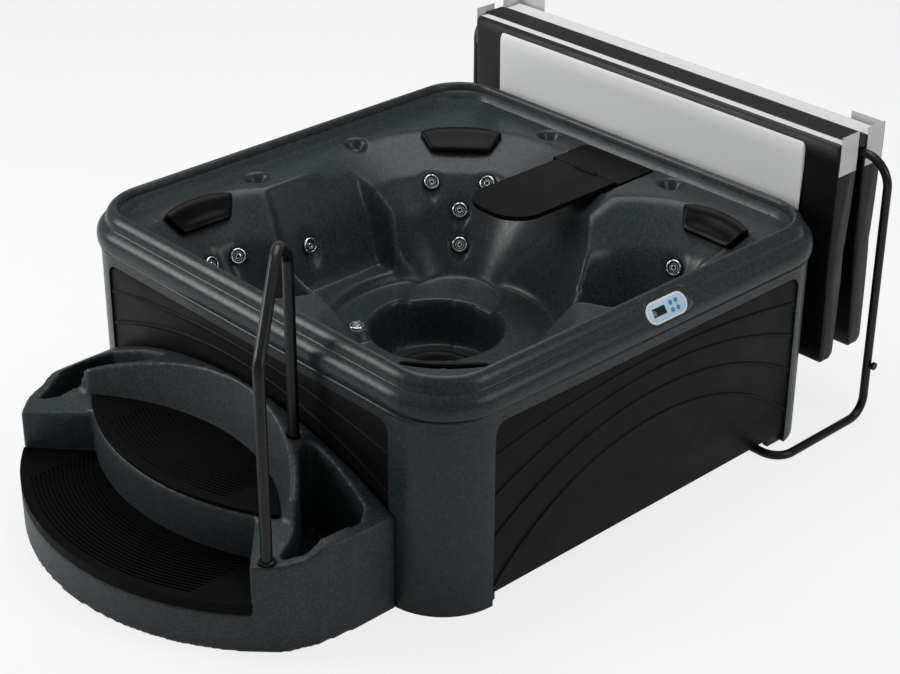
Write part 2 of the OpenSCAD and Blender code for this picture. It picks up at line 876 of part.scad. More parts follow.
display_l = 62;
display_w = 30;
display_y = -38;
button_r = 8;
button_y = [22, 44, 66];
button_depth = 6;
button_high = 4.5;
module control_bezel() {
    color("#e9eef2")
        at_bezel()
            difference() {
                union() {
                    translate([0, 0, -bezel_sink + seat_gap])
                        linear_extrude(bezel_t - 3)
                            stadium(bezel_l, bezel_w);
                    translate([0, 0, -bezel_sink + seat_gap + bezel_t - 3.5])
                        linear_extrude(3.5)
                            stadium(bezel_l - 6, bezel_w - 6);
                }
                translate([-display_w / 2, display_y - display_l / 2, bezel_t - bezel_sink - 3])
                    cube([display_w, display_l, 10]);
                for (i = [0:3])
                    at_button(i)
                        translate([0, 0, bezel_t - bezel_sink - button_depth])
                            cylinder(h = 20, r = button_r + fit);
            }
}

module at_button(i) {
    translate([i < 2 ? -13 : 13, i % 2 == 0 ? button_y[0] : button_y[1] + 4, 0])
        children();
}

module control_display() {
    color("#1b2733")
        at_bezel()
            translate([-display_w / 2 + fit, display_y - display_l / 2 + fit,
                bezel_t - bezel_sink - 3 + seat_gap])
                cube([display_w - 2 * fit, display_l - 2 * fit, 3.2]);
}

module control_button(i) {
    color("#7fa6c4")
        at_bezel()
            at_button(i)
                translate([0, 0, bezel_t - bezel_sink - button_depth + button_travel + fit])
                    cylinder(h = button_high + button_travel, r = button_r);
}

module button_1() { control_button(0); }
module button_2() { control_button(1); }
module button_3() { control_button(2); }
module button_4() { control_button(3); }

knob_x = crest_half - 47;
knob_places = [[knob_x, 99 * plan], [knob_x, 297 * plan]];
knob_stem_r = 8;
module air_knob(i) {
    color(shell_colour)
        translate([knob_places[i][0], knob_places[i][1], ledge_z + fit])
            union() {
                cylinder(h = 5, r = knob_r);
                translate([0, 0, 5 - over])
                    cylinder(h = 12, r1 = knob_r - 2, r2 = knob_r - 6);
                translate([-3, -knob_r + 4, 12])
                    cube([6, 2 * knob_r - 8, 8]);
                translate([0, 0, -24])
                    cylinder(h = 25, r = knob_stem_r);
            }
}

module air_knob_1() { air_knob(0); }
module air_knob_2() { air_knob(1); }

// Equipment behind the access panel: pump, heater, control box, pipes and the drain

pan_top = panel_bottom + 4 + pan_t;
pump_at = [panel_half - 197, (tub_half - drawn_half) / 2, pan_top + 110];
pump_r = 78;
motor_back = 136;
wet_y = 130;
wet_l = 90;
shaft_r = 10;

module pump_motor() {
    color("#303436")
        union() {
            translate(pump_at + [0, -motor_back, 0])
                rotate([-90, 0, 0])
                    cylinder(h = motor_back + wet_y - fit, r = pump_r);
            translate(pump_at + [-60, -120, -110 + fit])
                cube([120, 200, 80]);
            translate(pump_at + [-40, -110, 50])
                cube([80, 110, 42]);
            translate(pump_at + [0, wet_y - 20, 0])
                rotate([-90, 0, 0])
                    cylinder(h = 70, r = shaft_r);
        }
}

module pump_housing() {
    color(black)
        difference() {
            union() {
                translate(pump_at + [0, wet_y, 0])
                    rotate([-90, 0, 0])
                        cylinder(h = wet_l, r = pump_r - 4);
                translate(pump_at + [0, wet_y + wet_l / 2, 0])
                    cylinder(h = pump_r + 10, r = 28);
                translate(pump_at + [0, wet_y + wet_l - over, 0])
                    rotate([-90, 0, 0])
                        cylinder(h = 20, r = 28);
            }
            translate(pump_at + [0, wet_y + 14, 0])
                rotate([-90, 0, 0])
                    cylinder(h = wet_l - 26, r = pump_r - 14);
            translate(pump_at + [0, wet_y - over, 0])
                rotate([-90, 0, 0])
                    cylinder(h = 40, r = shaft_r + 2);
            translate(pump_at + [0, wet_y + wet_l / 2, 20])
                cylinder(h = pump_r, r = 22);
            translate(pump_at + [0, wet_y + wet_l - 20, 0])
                rotate([-90, 0, 0])
                    cylinder(h = 60, r = 22);
        }
}

module pump_impeller() {
    color("#c8c0a8")
        translate(pump_at + [0, wet_y + 18, 0])
            rotate([-90, 0, 0])
                difference() {
                    union() {
                        cylinder(h = 4, r = pump_r - 20);
                        cylinder(h = 30, r = shaft_r + 6);
                        for (a = [0:60:300])
                            rotate([0, 0, a])
                                translate([shaft_r + 4, -2, 3])
                                    cube([pump_r - 22 - shaft_r - 6, 4, 22]);
                    }
                    translate([0, 0, -over])
                        cylinder(h = 40, r = shaft_r + run);
                }
}

heater_r = 32;
heater_z = pump_at[2] + 170;
heater_y = [pump_at[1] - 190, pump_at[1] + 60];
module heater() {
    color(chrome)
        union() {
            translate([pump_at[0], heater_y[0], heater_z])
                rotate([-90, 0, 0])
                    cylinder(h = heater_y[1] - heater_y[0], r = heater_r);
            for (y = [heater_y[0], heater_y[1] - 16])
                translate([pump_at[0], y, heater_z])
                    rotate([-90, 0, 0])
                        cylinder(h = 16, r = heater_r + 8);
            translate([pump_at[0] - 12, pump_at[1] - 80, pump_at[2] + 92 + fit])
                cube([24, 50, heater_z - pump_at[2] - 92 - heater_r + 8]);
        }
}

module control_box() {
    color("#26292b")
        difference() {
            translate([rebate_half - 22 - 92, pump_at[1] - 400, pan_top + fit])
                cube([88, 260, 330]);
            translate([rebate_half - 22 - 86, pump_at[1] - 394, pan_top + 6])
                cube([76, 248, 318]);
        }
}

pipe_r = 22;
module water_pipes() {
    out_y = pump_at[1] + wet_y + wet_l / 2;
    in_y = pump_at[1] + wet_y + wet_l + 19 + fit;
    suck = [footwell_at[0] + footwell_r + suction_neck + fit, footwell_at[1], suction_z];
    riser_x = pump_at[0] - 200;
    color("#d9dde0")
        union() {
            bent_bar([[pump_at[0], out_y, pump_at[2] + pump_r + 10 + fit],
                [pump_at[0], out_y, heater_z], [pump_at[0], heater_y[1] + fit, heater_z]], 30, 2 * pipe_r);
            bent_bar([[pump_at[0], in_y, pump_at[2]], [pump_at[0], in_y + 60, pump_at[2]],
                [riser_x, in_y + 60, pump_at[2]], [riser_x, suck[1], pump_at[2]],
                [riser_x, suck[1], suction_z], suck], pipe_r + 2, 2 * pipe_r);
            bent_bar([[pump_at[0], heater_y[0] - fit, heater_z], [pump_at[0], heater_y[0] - 140, heater_z],
                [pump_at[0] - 130, heater_y[0] - 140, heater_z]], 50, 2 * pipe_r);
        }
}

// The drain runs from the disc's neck out through the left panel to a spigot with a screw cap.
drain_d = 26;
module drain_valve() {
    color(black)
        union() {
            bent_bar([[footwell_at[0], footwell_at[1], drain_run_z + 25 - fit],
                [footwell_at[0], footwell_at[1], drain_run_z - 5],
                [-panel_half - 3, footwell_at[1], drain_run_z - 5]], drain_d / 2 + 1, drain_d);
            translate([-panel_half + panel_t + 2, footwell_at[1], drain_run_z - 5])
                rotate([0, 90, 0])
                    cylinder(h = 20, r = 24);
        }
}

module drain_cap() {
    color(black)
        translate([-panel_half - 3 - fit, footwell_at[1], drain_run_z - 5])
            rotate([0, -90, 0])
                cylinder(h = 16, r = 20, $fn = 24);
}

// Step: a hollow moulded body with two treads, a leaning back wall and two planters

post_drawn = 967;   // half width of the posts for which the places below are given
step_back = -post_drawn - step_gap;
module by_the_posts() {
    translate([0, post_drawn - body_half, 0])
        children();
}

lower_centre = -766;
riser_centre = -470;
scoop_centre = -1863;
scoop_r = 813;
block_front = [636, -1457];
step_side = [[710, -1377], [747, -1276], [760, -1154], [761, step_back]];

module step_plan(inset) {
    side = concat([[block_front[0] - inset, -1800], [block_front[0] - inset * 0.7, block_front[1] + inset]],
        [for (p = step_side) [p[0] - inset, p[1] + (p[1] == step_back ? -inset : inset * 0.4)]]);
    intersection() {
        translate([0, lower_centre])
            circle(lower_r - inset, $fn = 128);
        polygon(concat(side, [for (i = [len(side) - 1:-1:0]) [-side[i][0], side[i][1]]]));
    }
}

crest_sag = crest_z - crest_end_z;
module step_crest() {
    translate([0, step_back + over, 0])
        rotate([90, 0, 0])
            linear_extrude(800)
                polygon(concat([[-780, -over], [780, -over]],
                    arc_between([770, crest_end_z], [-770, crest_end_z], -crest_sag, 24)));
}

module step_slope() {
    translate([-800, 0, 0])
        rotate([90, 0, 90])
            linear_extrude(1600)
                polygon([[-1800, -over], [step_back + over, -over], [step_back + over, 700],
                    [-1160, 700], [-1240, crest_end_z + 16], [-1300, crest_end_z - 14],
                    [block_front[1], block_z], [-1800, block_z - 30]]);
}

pocket = [[392, -1005], [520, -1005], [683, -1029], [722, -1078], [718, -1178], [706, -1282],
    [673, -1353], [656, -1350], [607, -1253], [532, -1166], [408, -1062]];
pocket_z = 140;

module step_body() {
    color(shell_colour)
        by_the_posts()
            difference() {
                intersection() {
                    linear_extrude(700)
                        step_plan(0);
                    step_crest();
                    union() {
                        step_slope();
                        linear_extrude(upper_z)
                            intersection() {
                                translate([0, riser_centre])
                                    circle(riser_r + 4, $fn = 128);
                                translate([0, scoop_centre])
                                    circle(scoop_r - 4, $fn = 128);
                            }
                    }
                }
                lower_tread_cut();
                upper_scoop();
                right_and_left()
                    translate([0, 0, pocket_z])
                        linear_extrude(700)
                            polygon(pocket);
                step_hollow();
                rail_holes();
            }
}

module lower_tread_cut() {
    difference() {
        translate([0, 0, lower_z])
            linear_extrude(700)
                polygon([[-block_front[0], -1900], [block_front[0], -1900], block_front,
                    [455, -1290], [455, -1100], [-455, -1100], [-455, -1290],
                    [-block_front[0], block_front[1]]]);
        translate([0, riser_centre, 0])
            cylinder(h = 800, r = riser_r, $fn = 128);
    }
    difference() {
        translate([0, 0, lower_z - mat_lip])
            linear_extrude(mat_lip + 1)
                difference() {
                    translate([-block_front[0], -1900])
                        square([2 * block_front[0], 900]);
                    translate([0, lower_centre])
                        circle(lower_r - mat_t, $fn = 128);
                }
    }
}

module upper_scoop() {
    translate([0, scoop_centre, upper_z])
        cylinder(h = 260, r1 = scoop_r, r2 = scoop_r + 260 * 0.36, $fn = 128);
}

module step_hollow() {
    translate([0, 0, -over])
        linear_extrude(lower_z - step_wall - mat_lip + over)
            difference() {
                step_plan(step_wall + 6);
                right_and_left()
                    translate([330, -1380])
                        square([480, 420]);
            }
    intersection() {
        translate([0, riser_centre, 20])
            cylinder(h = upper_z - step_wall - 20, r = riser_r - step_wall, $fn = 128);
        translate([-320, -1500, 20])
            cube([640, 1500 + step_back - step_wall, upper_z - step_wall - 20]);
    }
}

rail_a = [650, -1398];
rail_dir = unit([-301, 359]);
rail_span = 480;
foot_z = block_z + 6;
rear_z = 480;
socket_depth = 70;
module rail_holes() {
    for (foot = [[0, foot_z], [rail_span, rear_z]])
        translate([rail_a[0] + rail_dir[0] * foot[0], rail_a[1] + rail_dir[1] * foot[0],
            foot[1] - socket_depth - 20])
            cylinder(h = socket_depth + 200, d = rail_d + 6 + 2 * fit);
}

module mat_grooves(y, r, count) {
    for (i = [1:count])
        translate([0, y])
            difference() {
                circle(r - i * mat_pitch, $fn = 128);
                circle(r - i * mat_pitch - 6, $fn = 128);
            }
}

module step_mat_lower() {
    color(black)
        by_the_posts()
            union() {
                difference() {
                    translate([0, 0, lower_z])
                        linear_extrude(mat_t)
                            lower_mat_plan(fit);
                    translate([0, 0, lower_z + mat_t - 6])
                        linear_extrude(10)
                            intersection() {
                                mat_grooves(lower_centre, lower_r - 20, 15);
                                square([900, 4000], center = true);
                            }
                }
                translate([0, 0, lower_z - mat_lip + fit])
                    linear_extrude(mat_lip + 2)
                        intersection() {
                            difference() {
                                translate([0, lower_centre])
                                    circle(lower_r, $fn = 128);
                                translate([0, lower_centre])
                                    circle(lower_r - mat_t + fit, $fn = 128);
                            }
                            translate([-block_front[0] + 1, -1900])
                                square([2 * block_front[0] - 2, 1900 + block_front[1] - fit]);
                        }
            }
}

module lower_mat_plan(gap) {
    difference() {
        intersection() {
            translate([0, lower_centre])
                circle(lower_r, $fn = 128);
            polygon([[-block_front[0] + gap, -1900], [block_front[0] - gap, -1900],
                block_front - [gap, 0], [455 - gap, -1290], [455 - gap, -1100],
                [-455 + gap, -1100], [-455 + gap, -1290], [-block_front[0] + gap, block_front[1]]]);
        }
        translate([0, riser_centre])
            circle(riser_r + gap, $fn = 128);
    }
}

upper_mat_t = 15;
module step_mat_upper() {
    color(black)
        by_the_posts()
            difference() {
                translate([0, 0, upper_z + fit])
                    linear_extrude(upper_mat_t)
                        intersection() {
                            translate([0, riser_centre])
                                circle(riser_r - 2, $fn = 128);
                            translate([0, scoop_centre])
                                circle(scoop_r - fit, $fn = 128);
                        }
                translate([0, 0, upper_z + upper_mat_t - 5])
                    linear_extrude(10)
                        intersection() {
                            mat_grooves(riser_centre, riser_r - 30, 14);
                            square([640, 4000], center = true);
                            translate([0, scoop_centre])
                                circle(scoop_r - 30, $fn = 128);
                        }
            }
}

// Handrail: one bent tube in two sockets of the right end block. Its line lies in an upright plane,
// by distance from the front foot and height.

function rail_point(s, z) = [rail_a[0] + rail_dir[0] * s, rail_a[1] + rail_dir[1] * s, z];
rail_line = [[0, foot_z - socket_depth], [0, rail_knee], [330, rail_top],
    [rail_span, rail_top - 104], [rail_span, rear_z - socket_depth]];
rail_bends = [60, 100, 60];
bend_steps = 8;
rail_sides = 24;

// The rings of the tube: the place of each on the line and the direction of the line there.
function bend_rings(a, p, b, r) =
    let (d1 = unit(p - a), d2 = unit(b - p), turn = acos(d1 * d2), inward = unit(d2 - (d2 * d1) * d1),
        start = p - d1 * r * tan(turn / 2), middle = start + inward * r)
    [for (i = [0:bend_steps])
        let (t = turn * i / bend_steps)
        [middle - inward * r * cos(t) + d1 * r * sin(t), d1 * cos(t) + inward * sin(t)]];
rail_rings = concat([[rail_line[0], [0, 1]]],
    [for (i = [1:3]) each bend_rings(rail_line[i - 1], rail_line[i], rail_line[i + 1], rail_bends[i - 1])],
    [[rail_line[4], [0, -1]]]);

module handrail() {
    n = rail_sides;
    last = (len(rail_rings) - 1) * n;
    inner = len(rail_rings) * n;
    points = [for (r = [rail_d / 2, rail_d / 2 - tube_wall], ring = rail_rings, k = [0:n - 1])
        let (a = 360 * k / n, side = [ring[1][1], -ring[1][0]], p = ring[0] + side * r * cos(a))
        [p[0], r * sin(a), p[1]]];
    walls = [for (i = [0:len(rail_rings) - 2], k = [0:n - 1])
        let (a = i * n + k, b = i * n + (k + 1) % n)
        each [[a, a + n, b], [b, a + n, b + n],
            [inner + a, inner + b, inner + a + n], [inner + b, inner + b + n, inner + a + n]]];
    ends = [for (k = [0:n - 1])
        let (next = (k + 1) % n)
        each [[k, next, inner + next, inner + k],
            [last + k, last + inner + k, last + inner + next, last + next]]];
    color(black_tube)
        by_the_posts()
            translate([rail_a[0], rail_a[1], 0])
                rotate([0, 0, atan2(rail_dir[1], rail_dir[0])])
                    polyhedron(points, concat(walls, ends), convexity = 6);
}

module rail_sockets() {
    color(black)
        by_the_posts()
            for (foot = [[0, foot_z], [rail_span, rear_z]])
                translate(rail_point(foot[0], foot[1] - socket_depth - 20))
                    difference() {
                        cylinder(h = socket_depth + 20, d = rail_d + 6);
                        translate([0, 0, 20 - fit])
                            cylinder(h = socket_depth + 30, d = rail_d + 2 * seat_gap);
                    }
}

// Cover lifter: a base tube that runs under the tub and an upper frame that telescopes in it

bar_y = cover_front + fold_t + 17.5;
bar_gap = 35;
under_y = lifter_under_y * plan;
neck_l = lift_travel + 75;
neck_d = lifter_d - 2 * tube_wall - 2 * fit;
module lifter_base() {
    color(black_tube)
        bent_tube([[-lifter_half, bar_y, sleeve_z], [-lifter_half, bar_y, lifter_d / 2],
            [-lifter_half, under_y, lifter_d / 2], [lifter_half, under_y, lifter_d / 2],
            [lifter_half, bar_y, lifter_d / 2], [lifter_half, bar_y, sleeve_z]], 75, lifter_d);
}

module lifter_upper() {
    color(black_tube)
        union() {
            bent_tube([[-lifter_half, bar_y, sleeve_z + fit], [-lifter_half, bar_y, bar_z],
                [lifter_half, bar_y, bar_z], [lifter_half, bar_y, sleeve_z + fit]], 105, lifter_d);
            right_and_left()
                translate([lifter_half, bar_y, sleeve_z - neck_l + 30])
                    cylinder(h = neck_l, d = neck_d);
            right_and_left()
                translate([lifter_half, bar_y, sleeve_z + fit])
                    cylinder(h = 25, d = lifter_d - 2);
        }
}

module lifter_knobs() {
    color(black)
        right_and_left()
            translate([lifter_half + lifter_d / 2 + fit, bar_y, sleeve_z - 30])
                rotate([0, 90, 0])
                    union() {
                        cylinder(h = 8, r = 8);
                        translate([0, 0, 7])
                            cylinder(h = 12, r = 15);
                    }
}

// Cover: two tapered foam boards in vinyl, joined by a foam hinge, with liner slabs and skirt flaps

near_back = cover_front + fold_t;
far_front = near_back + bar_gap;
far_back = far_front + fold_t - 6;
far_low = cover_low + 10;
hinge_t = 5;
board_lean = 5;

// Where the outer face of the far half stands at a height, with the liner's clearance.
function far_face(z) = far_back - board_lean * (cover_top - z) / (cover_top - far_low) + seat_gap;
module board(points) {
    translate([-cover_half, 0, 0])
        rotate([90, 0, 90])
            linear_extrude(2 * cover_half)
                polygon(points);
}

module cover_near() {
    color(black)
        board([[cover_front, cover_top], [near_back, cover_top],
            [cover_front + 6 + edge_t, cover_low], [cover_front + 6, cover_low]]);
}

module cover_near_liner() {
    color(grey)
        translate([-liner_half, 0, 0])
            rotate([90, 0, 90])
                linear_extrude(2 * liner_half)
                    polygon([[cover_front - liner_t, cover_top - 30], [cover_front + 0.2, cover_top - 30],
                        [cover_front + 5.04, liner_low], [cover_front - liner_t + 5, liner_low]]);
}

bar_top = bar_z + lifter_d / 2 + fit;
module cover_hinge() {
    color(grey)
        translate([-cover_half, 0, 0])
            rotate([90, 0, 90])
                linear_extrude(2 * cover_half)
                    polygon([[near_back, bar_top], [far_front - fit, bar_top],
                        [far_front - fit, cover_top + hinge_t], [near_back - 60, cover_top + hinge_t],
                        [near_back - 60, cover_top], [near_back, cover_top]]);
}

module cover_far() {
    color(black)
        board([[far_front, cover_top], [far_back, cover_top],
            [far_back - board_lean, far_low], [far_back - board_lean - edge_t, far_low]]);
}

module cover_far_liner() {
    color(grey)
        translate([-liner_half, 0, 0])
            rotate([90, 0, 90])
                linear_extrude(2 * liner_half)
                    polygon([[far_face(cover_top - 30), cover_top - 30], [far_back + liner_t, cover_top - 30],
                        [far_back + liner_t - board_lean, liner_low], [far_face(liner_low), liner_low]]);
}

flap_t = 3;
flap_low = cover_top - 120;
flap_high = cover_top + 30;
flap_x = cover_half + fit + flap_t / 2;
module cover_near_flaps() {
    color(black)
        for (s = [-1, 1])
            translate([s * flap_x, cover_front + fold_t / 2 - 3, (flap_low + flap_high) / 2])
                cube([flap_t, fold_t - 12, flap_high - flap_low], center = true);
}

module cover_far_flaps() {
    color(black)
        union() {
            for (s = [-1, 1])
                translate([s * flap_x, far_front + fold_t / 2 + 1, (flap_low + flap_high) / 2])
                    cube([flap_t, fold_t - 14, flap_high - flap_low], center = true);
            translate([liner_half + 6, far_back + fit, flap_low])
                cube([cover_half - liner_half - 6 + fit + flap_t, flap_t, cover_top + 24 - flap_low]);
            translate([-cover_half - fit - flap_t, far_back + fit, flap_low])
                cube([cover_half - liner_half - 10 + fit + flap_t, flap_t, cover_top + 50 - flap_low]);
        }
}

tub_shell();
cabinet_frame();
base_pan();
panel_front();
panel_access();
panel_left();
panel_back();
pillow_left();
pillow_back();
pillow_right();
pillow_front();
jet_bodies();
jet_face_1();
jet_face_2();
jet_face_3();
jet_face_4();
jet_face_5();
jet_face_6();
jet_face_7();
jet_face_8();
jet_face_9();
jet_face_10();
suction_cover();
footwell_disc();
filter_housing();
filter_cartridge();
filter_lid();
tray_flap();
tray_pin();
control_bezel();
control_display();
button_1();
button_2();
button_3();
button_4();
air_knob_1();
air_knob_2();
pump_motor();
pump_housing();
pump_impeller();
heater();
control_box();
water_pipes();
drain_valve();
drain_cap();
step_body();
step_mat_lower();
step_mat_upper();
handrail();
rail_sockets();
lifter_base();
lifter_upper();
lifter_knobs();
cover_near();
cover_near_liner();
cover_hinge();
cover_far();
cover_far_liner();
cover_near_flaps();
cover_far_flaps();
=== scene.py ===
# Square plug-in hot tub with its step, handrail, cover lifter and folded cover, in metres.
# +X is the control panel's side, -Y the step, +Y the folded cover, and the floor is at Z = 0.
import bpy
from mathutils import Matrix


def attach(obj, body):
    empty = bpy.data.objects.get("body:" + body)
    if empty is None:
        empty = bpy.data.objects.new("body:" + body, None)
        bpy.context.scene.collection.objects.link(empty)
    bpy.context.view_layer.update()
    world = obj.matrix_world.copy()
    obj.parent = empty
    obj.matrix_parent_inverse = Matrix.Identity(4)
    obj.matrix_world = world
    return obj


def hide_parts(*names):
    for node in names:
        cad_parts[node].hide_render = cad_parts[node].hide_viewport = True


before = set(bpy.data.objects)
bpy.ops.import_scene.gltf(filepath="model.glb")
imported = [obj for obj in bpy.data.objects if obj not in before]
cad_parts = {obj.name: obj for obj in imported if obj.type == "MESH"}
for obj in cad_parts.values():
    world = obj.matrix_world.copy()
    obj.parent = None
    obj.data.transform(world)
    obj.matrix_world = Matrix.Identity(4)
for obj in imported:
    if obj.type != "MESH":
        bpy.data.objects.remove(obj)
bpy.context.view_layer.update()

import math
import bmesh
import bpy
import numpy as np
from mathutils import Matrix, Vector


# The photographer's studio: a long lens from above the near corner, a white sweep of floor and
# wall, and large soft lamps overhead and to both sides.
def add_node(tree, kind, values=None, links=None, **settings):
    node = tree.nodes.new(kind)
    for key, value in settings.items():
        setattr(node, key, value)
    for key, value in (values or {}).items():
        node.inputs[key].default_value = value
    for key, source in (links or {}).items():
        tree.links.new(source, node.inputs[key])
    return node


def srgb(hex_colour):
    parts = [int(hex_colour[i:i + 2], 16) / 255 for i in (1, 3, 5)]
    return tuple(c / 12.92 if c <= 0.04045 else ((c + 0.055) / 1.055) ** 2.4 for c in parts) + (1.0,)


def new_material(name):
    made = bpy.data.materials.new(name)
    made.use_nodes = True
    made.node_tree.nodes.clear()
    return made, made.node_tree


scene = bpy.context.scene
scene.view_settings.view_transform = "Standard"
# The view solved from the photograph: the direction, and the lens and optical centre in pixels.
azimuth, elevation = math.radians(47.33), math.radians(28.21)
frame_wide, frame_high, focal, centre_x, centre_y = 900, 674, 2057, 423.8, 325.4
back = Vector((math.sin(azimuth) * math.cos(elevation), -math.cos(azimuth) * math.cos(elevation),
               math.sin(elevation)))
lens = bpy.data.cameras.new("studio_camera")
lens.sensor_width = 36
lens.lens = lens.sensor_width * focal / frame_wide
lens.shift_x = (frame_wide / 2 - centre_x) / frame_wide
lens.shift_y = -(frame_high / 2 - centre_y) / frame_wide
lens.clip_end = 60
camera = bpy.data.objects.new("studio_camera", lens)
scene.collection.objects.link(camera)
camera.location = (4.824, -4.589, 3.957)
camera.rotation_mode = "QUATERNION"
camera.rotation_quaternion = back.to_track_quat("Z", "Y")
scene.camera = camera


# Paper sweep: it takes the object's soft shadow, and the camera, metal and glass see it as white.
paper, tree = new_material("white_studio_paper")
light_path = add_node(tree, "ShaderNodeLightPath")
in_metal = add_node(tree, "ShaderNodeMath", {1: 0.35}, {0: light_path.outputs["Is Glossy Ray"]},
                    operation="MULTIPLY")
seen = add_node(tree, "ShaderNodeMath", operation="MAXIMUM",
                links={0: light_path.outputs["Is Camera Ray"], 1: in_metal.outputs[0]})
matt = add_node(tree, "ShaderNodeBsdfDiffuse", {"Color": srgb("#e9e9e9")})
glow = add_node(tree, "ShaderNodeEmission", {"Color": (1, 1, 1, 1), "Strength": 1.0})
paper_mix = add_node(tree, "ShaderNodeMath", {1: 0.8}, {0: seen.outputs[0]}, operation="MULTIPLY")
floor_look = add_node(tree, "ShaderNodeMixShader",
                      links={0: paper_mix.outputs[0], 1: matt.outputs[0], 2: glow.outputs[0]})
add_node(tree, "ShaderNodeOutputMaterial", links={0: floor_look.outputs[0]})
sweep = bpy.data.meshes.new("paper_sweep")
reach = 40
sweep.from_pydata([(x * reach, y * reach, -0.001) for x, y in ((-1, -1), (1, -1), (1, 1), (-1, 1))], [],
                  [(0, 1, 2, 3)])
sweep.materials.append(paper)
sweep_object = bpy.data.objects.new("paper_sweep", sweep)
scene.collection.objects.link(sweep_object)

world = bpy.data.worlds.new("studio_air")
scene.world = world
world.use_nodes = True
tree = world.node_tree
tree.nodes.clear()
light_path = add_node(tree, "ShaderNodeLightPath")
camera_or_glass = add_node(tree, "ShaderNodeMath", operation="MAXIMUM",
                           links={0: light_path.outputs["Is Camera Ray"],
                                  1: light_path.outputs["Is Transmission Ray"]})
air = add_node(tree, "ShaderNodeBackground", {"Color": srgb("#f2f4f5"), "Strength": 0.3})
white = add_node(tree, "ShaderNodeBackground", {"Color": (1, 1, 1, 1), "Strength": 1.0})
both = add_node(tree, "ShaderNodeMixShader", links={0: camera_or_glass.outputs[0], 1: air.outputs[0],
                                                   2: white.outputs[0]})
add_node(tree, "ShaderNodeOutputWorld", links={0: both.outputs[0]})
for name, place, aim, size, power in (("top_softbox", (-0.6, 0.6, 4.6), (0, 0, 0.6), 3.6, 130),
                                      ("left_softbox", (-4.2, -4.4, 3.4), (0, 0, 0.5), 2.6, 190),
                                      ("right_softbox", (4.6, 1.5, 3.0), (0, 0, 0.6), 2.2, 50)):
    lamp = bpy.data.lights.new(name, "AREA")
    lamp.shape, lamp.size, lamp.energy = "SQUARE", size, power
    lamp_object = bpy.data.objects.new(name, lamp)
    scene.collection.objects.link(lamp_object)
    lamp_object.location = place
    lamp_object.rotation_euler = (Vector(place) - Vector(aim)).to_track_quat("Z", "Y").to_euler()


# Tub shell: one vacuum-formed acrylic sheet backed with resin, granite-patterned and satin, with
# bowl seats, a footwell, cup holders and a rim rolled over the cabinet in two bands.
def surface(name):
    """A new material, its tree and the place on the object that its patterns follow."""
    made, tree = new_material(name)
    return made, tree, add_node(tree, "ShaderNodeTexCoord").outputs["Object"]


def finish(made, tree, height, strength, distance, values, links=None):
    """Ends a material: a surface with these values, whose relief follows a height pattern."""
    relief = add_node(tree, "ShaderNodeBump", {"Strength": strength, "Distance": distance},
                      {"Height": height.outputs[0]})
    look = add_node(tree, "ShaderNodeBsdfPrincipled", values,
                    {"Normal": relief.outputs[0], **(links or {})})
    add_node(tree, "ShaderNodeOutputMaterial", links={0: look.outputs[0]})
    return made


def speckled_acrylic(name, base, dark, light, roughness):
    made, tree, place = surface(name)
    # Granite flecks about 2.5 mm across, drawn at 5 mm so that they show at this distance.
    fleck = add_node(tree, "ShaderNodeTexVoronoi", {"Scale": 200.0}, {"Vector": place})
    cloud = add_node(tree, "ShaderNodeTexNoise", {"Scale": 60.0, "Detail": 4.0}, {"Vector": place})
    tone = add_node(tree, "ShaderNodeValToRGB", links={0: fleck.outputs["Color"]})
    ramp = tone.color_ramp
    ramp.elements[0].position, ramp.elements[0].color = 0.22, srgb(dark)
    ramp.elements[1].position, ramp.elements[1].color = 0.86, srgb(light)
    ramp.elements.new(0.5).color = srgb(base)
    soft = add_node(tree, "ShaderNodeMix", {0: 0.55, 7: srgb(base)}, {6: tone.outputs[0]},
                    data_type="RGBA")
    patch = add_node(tree, "ShaderNodeMapRange", {"From Min": 0.35, "From Max": 0.65,
                                                  "To Min": roughness - 0.03, "To Max": roughness + 0.05},
                     {0: cloud.outputs[0]})
    # Orange peel of the formed sheet, about 3 mm between its crests.
    peel = add_node(tree, "ShaderNodeTexNoise", {"Scale": 330.0, "Detail": 2.0}, {"Vector": place})
    return finish(made, tree, peel, 0.12, 0.0006, {"IOR": 1.49, "Specular IOR Level": 0.3},
                  {"Base Color": soft.outputs[2], "Roughness": patch.outputs[0]})


def put_mesh(name, points, faces, material, angle=None):
    """A piece from points in metres, smooth but for edges sharper than an angle in degrees."""
    mesh = bpy.data.meshes.new(name)
    mesh.from_pydata([tuple(p) for p in points], [], [tuple(int(i) for i in f) for f in faces])
    mesh.materials.append(material)
    mesh.validate()
    mesh.polygons.foreach_set("use_smooth", [True] * len(mesh.polygons))
    if angle is not None:
        mesh.set_sharp_from_angle(angle=math.radians(angle))
    piece = bpy.data.objects.new(name, mesh)
    scene.collection.objects.link(piece)
    return piece


def smooth_step(x, low, high):
    t = np.clip((x - low) / (high - low), 0, 1)
    return t * t * (3 - 2 * t)


def soft_least(fields, round_mm):
    """The least of several height fields, with their meeting rounded."""
    stack = np.stack(fields)
    least = stack.min(0)
    return least - round_mm * np.log(np.exp(-(stack - least) / round_mm).sum(0))


def blurred(field, cells):
    reach = int(3 * cells) + 1
    weight = np.exp(-0.5 * (np.arange(-reach, reach + 1) / cells) ** 2)
    weight /= weight.sum()
    for axis in (0, 1):
        edge = np.pad(field, [(reach, reach) if a == axis else (0, 0) for a in (0, 1)], mode="edge")
        field = sum(w * np.take(edge, np.arange(field.shape[axis]) + i, axis=axis)
                    for i, w in enumerate(weight))
    return field


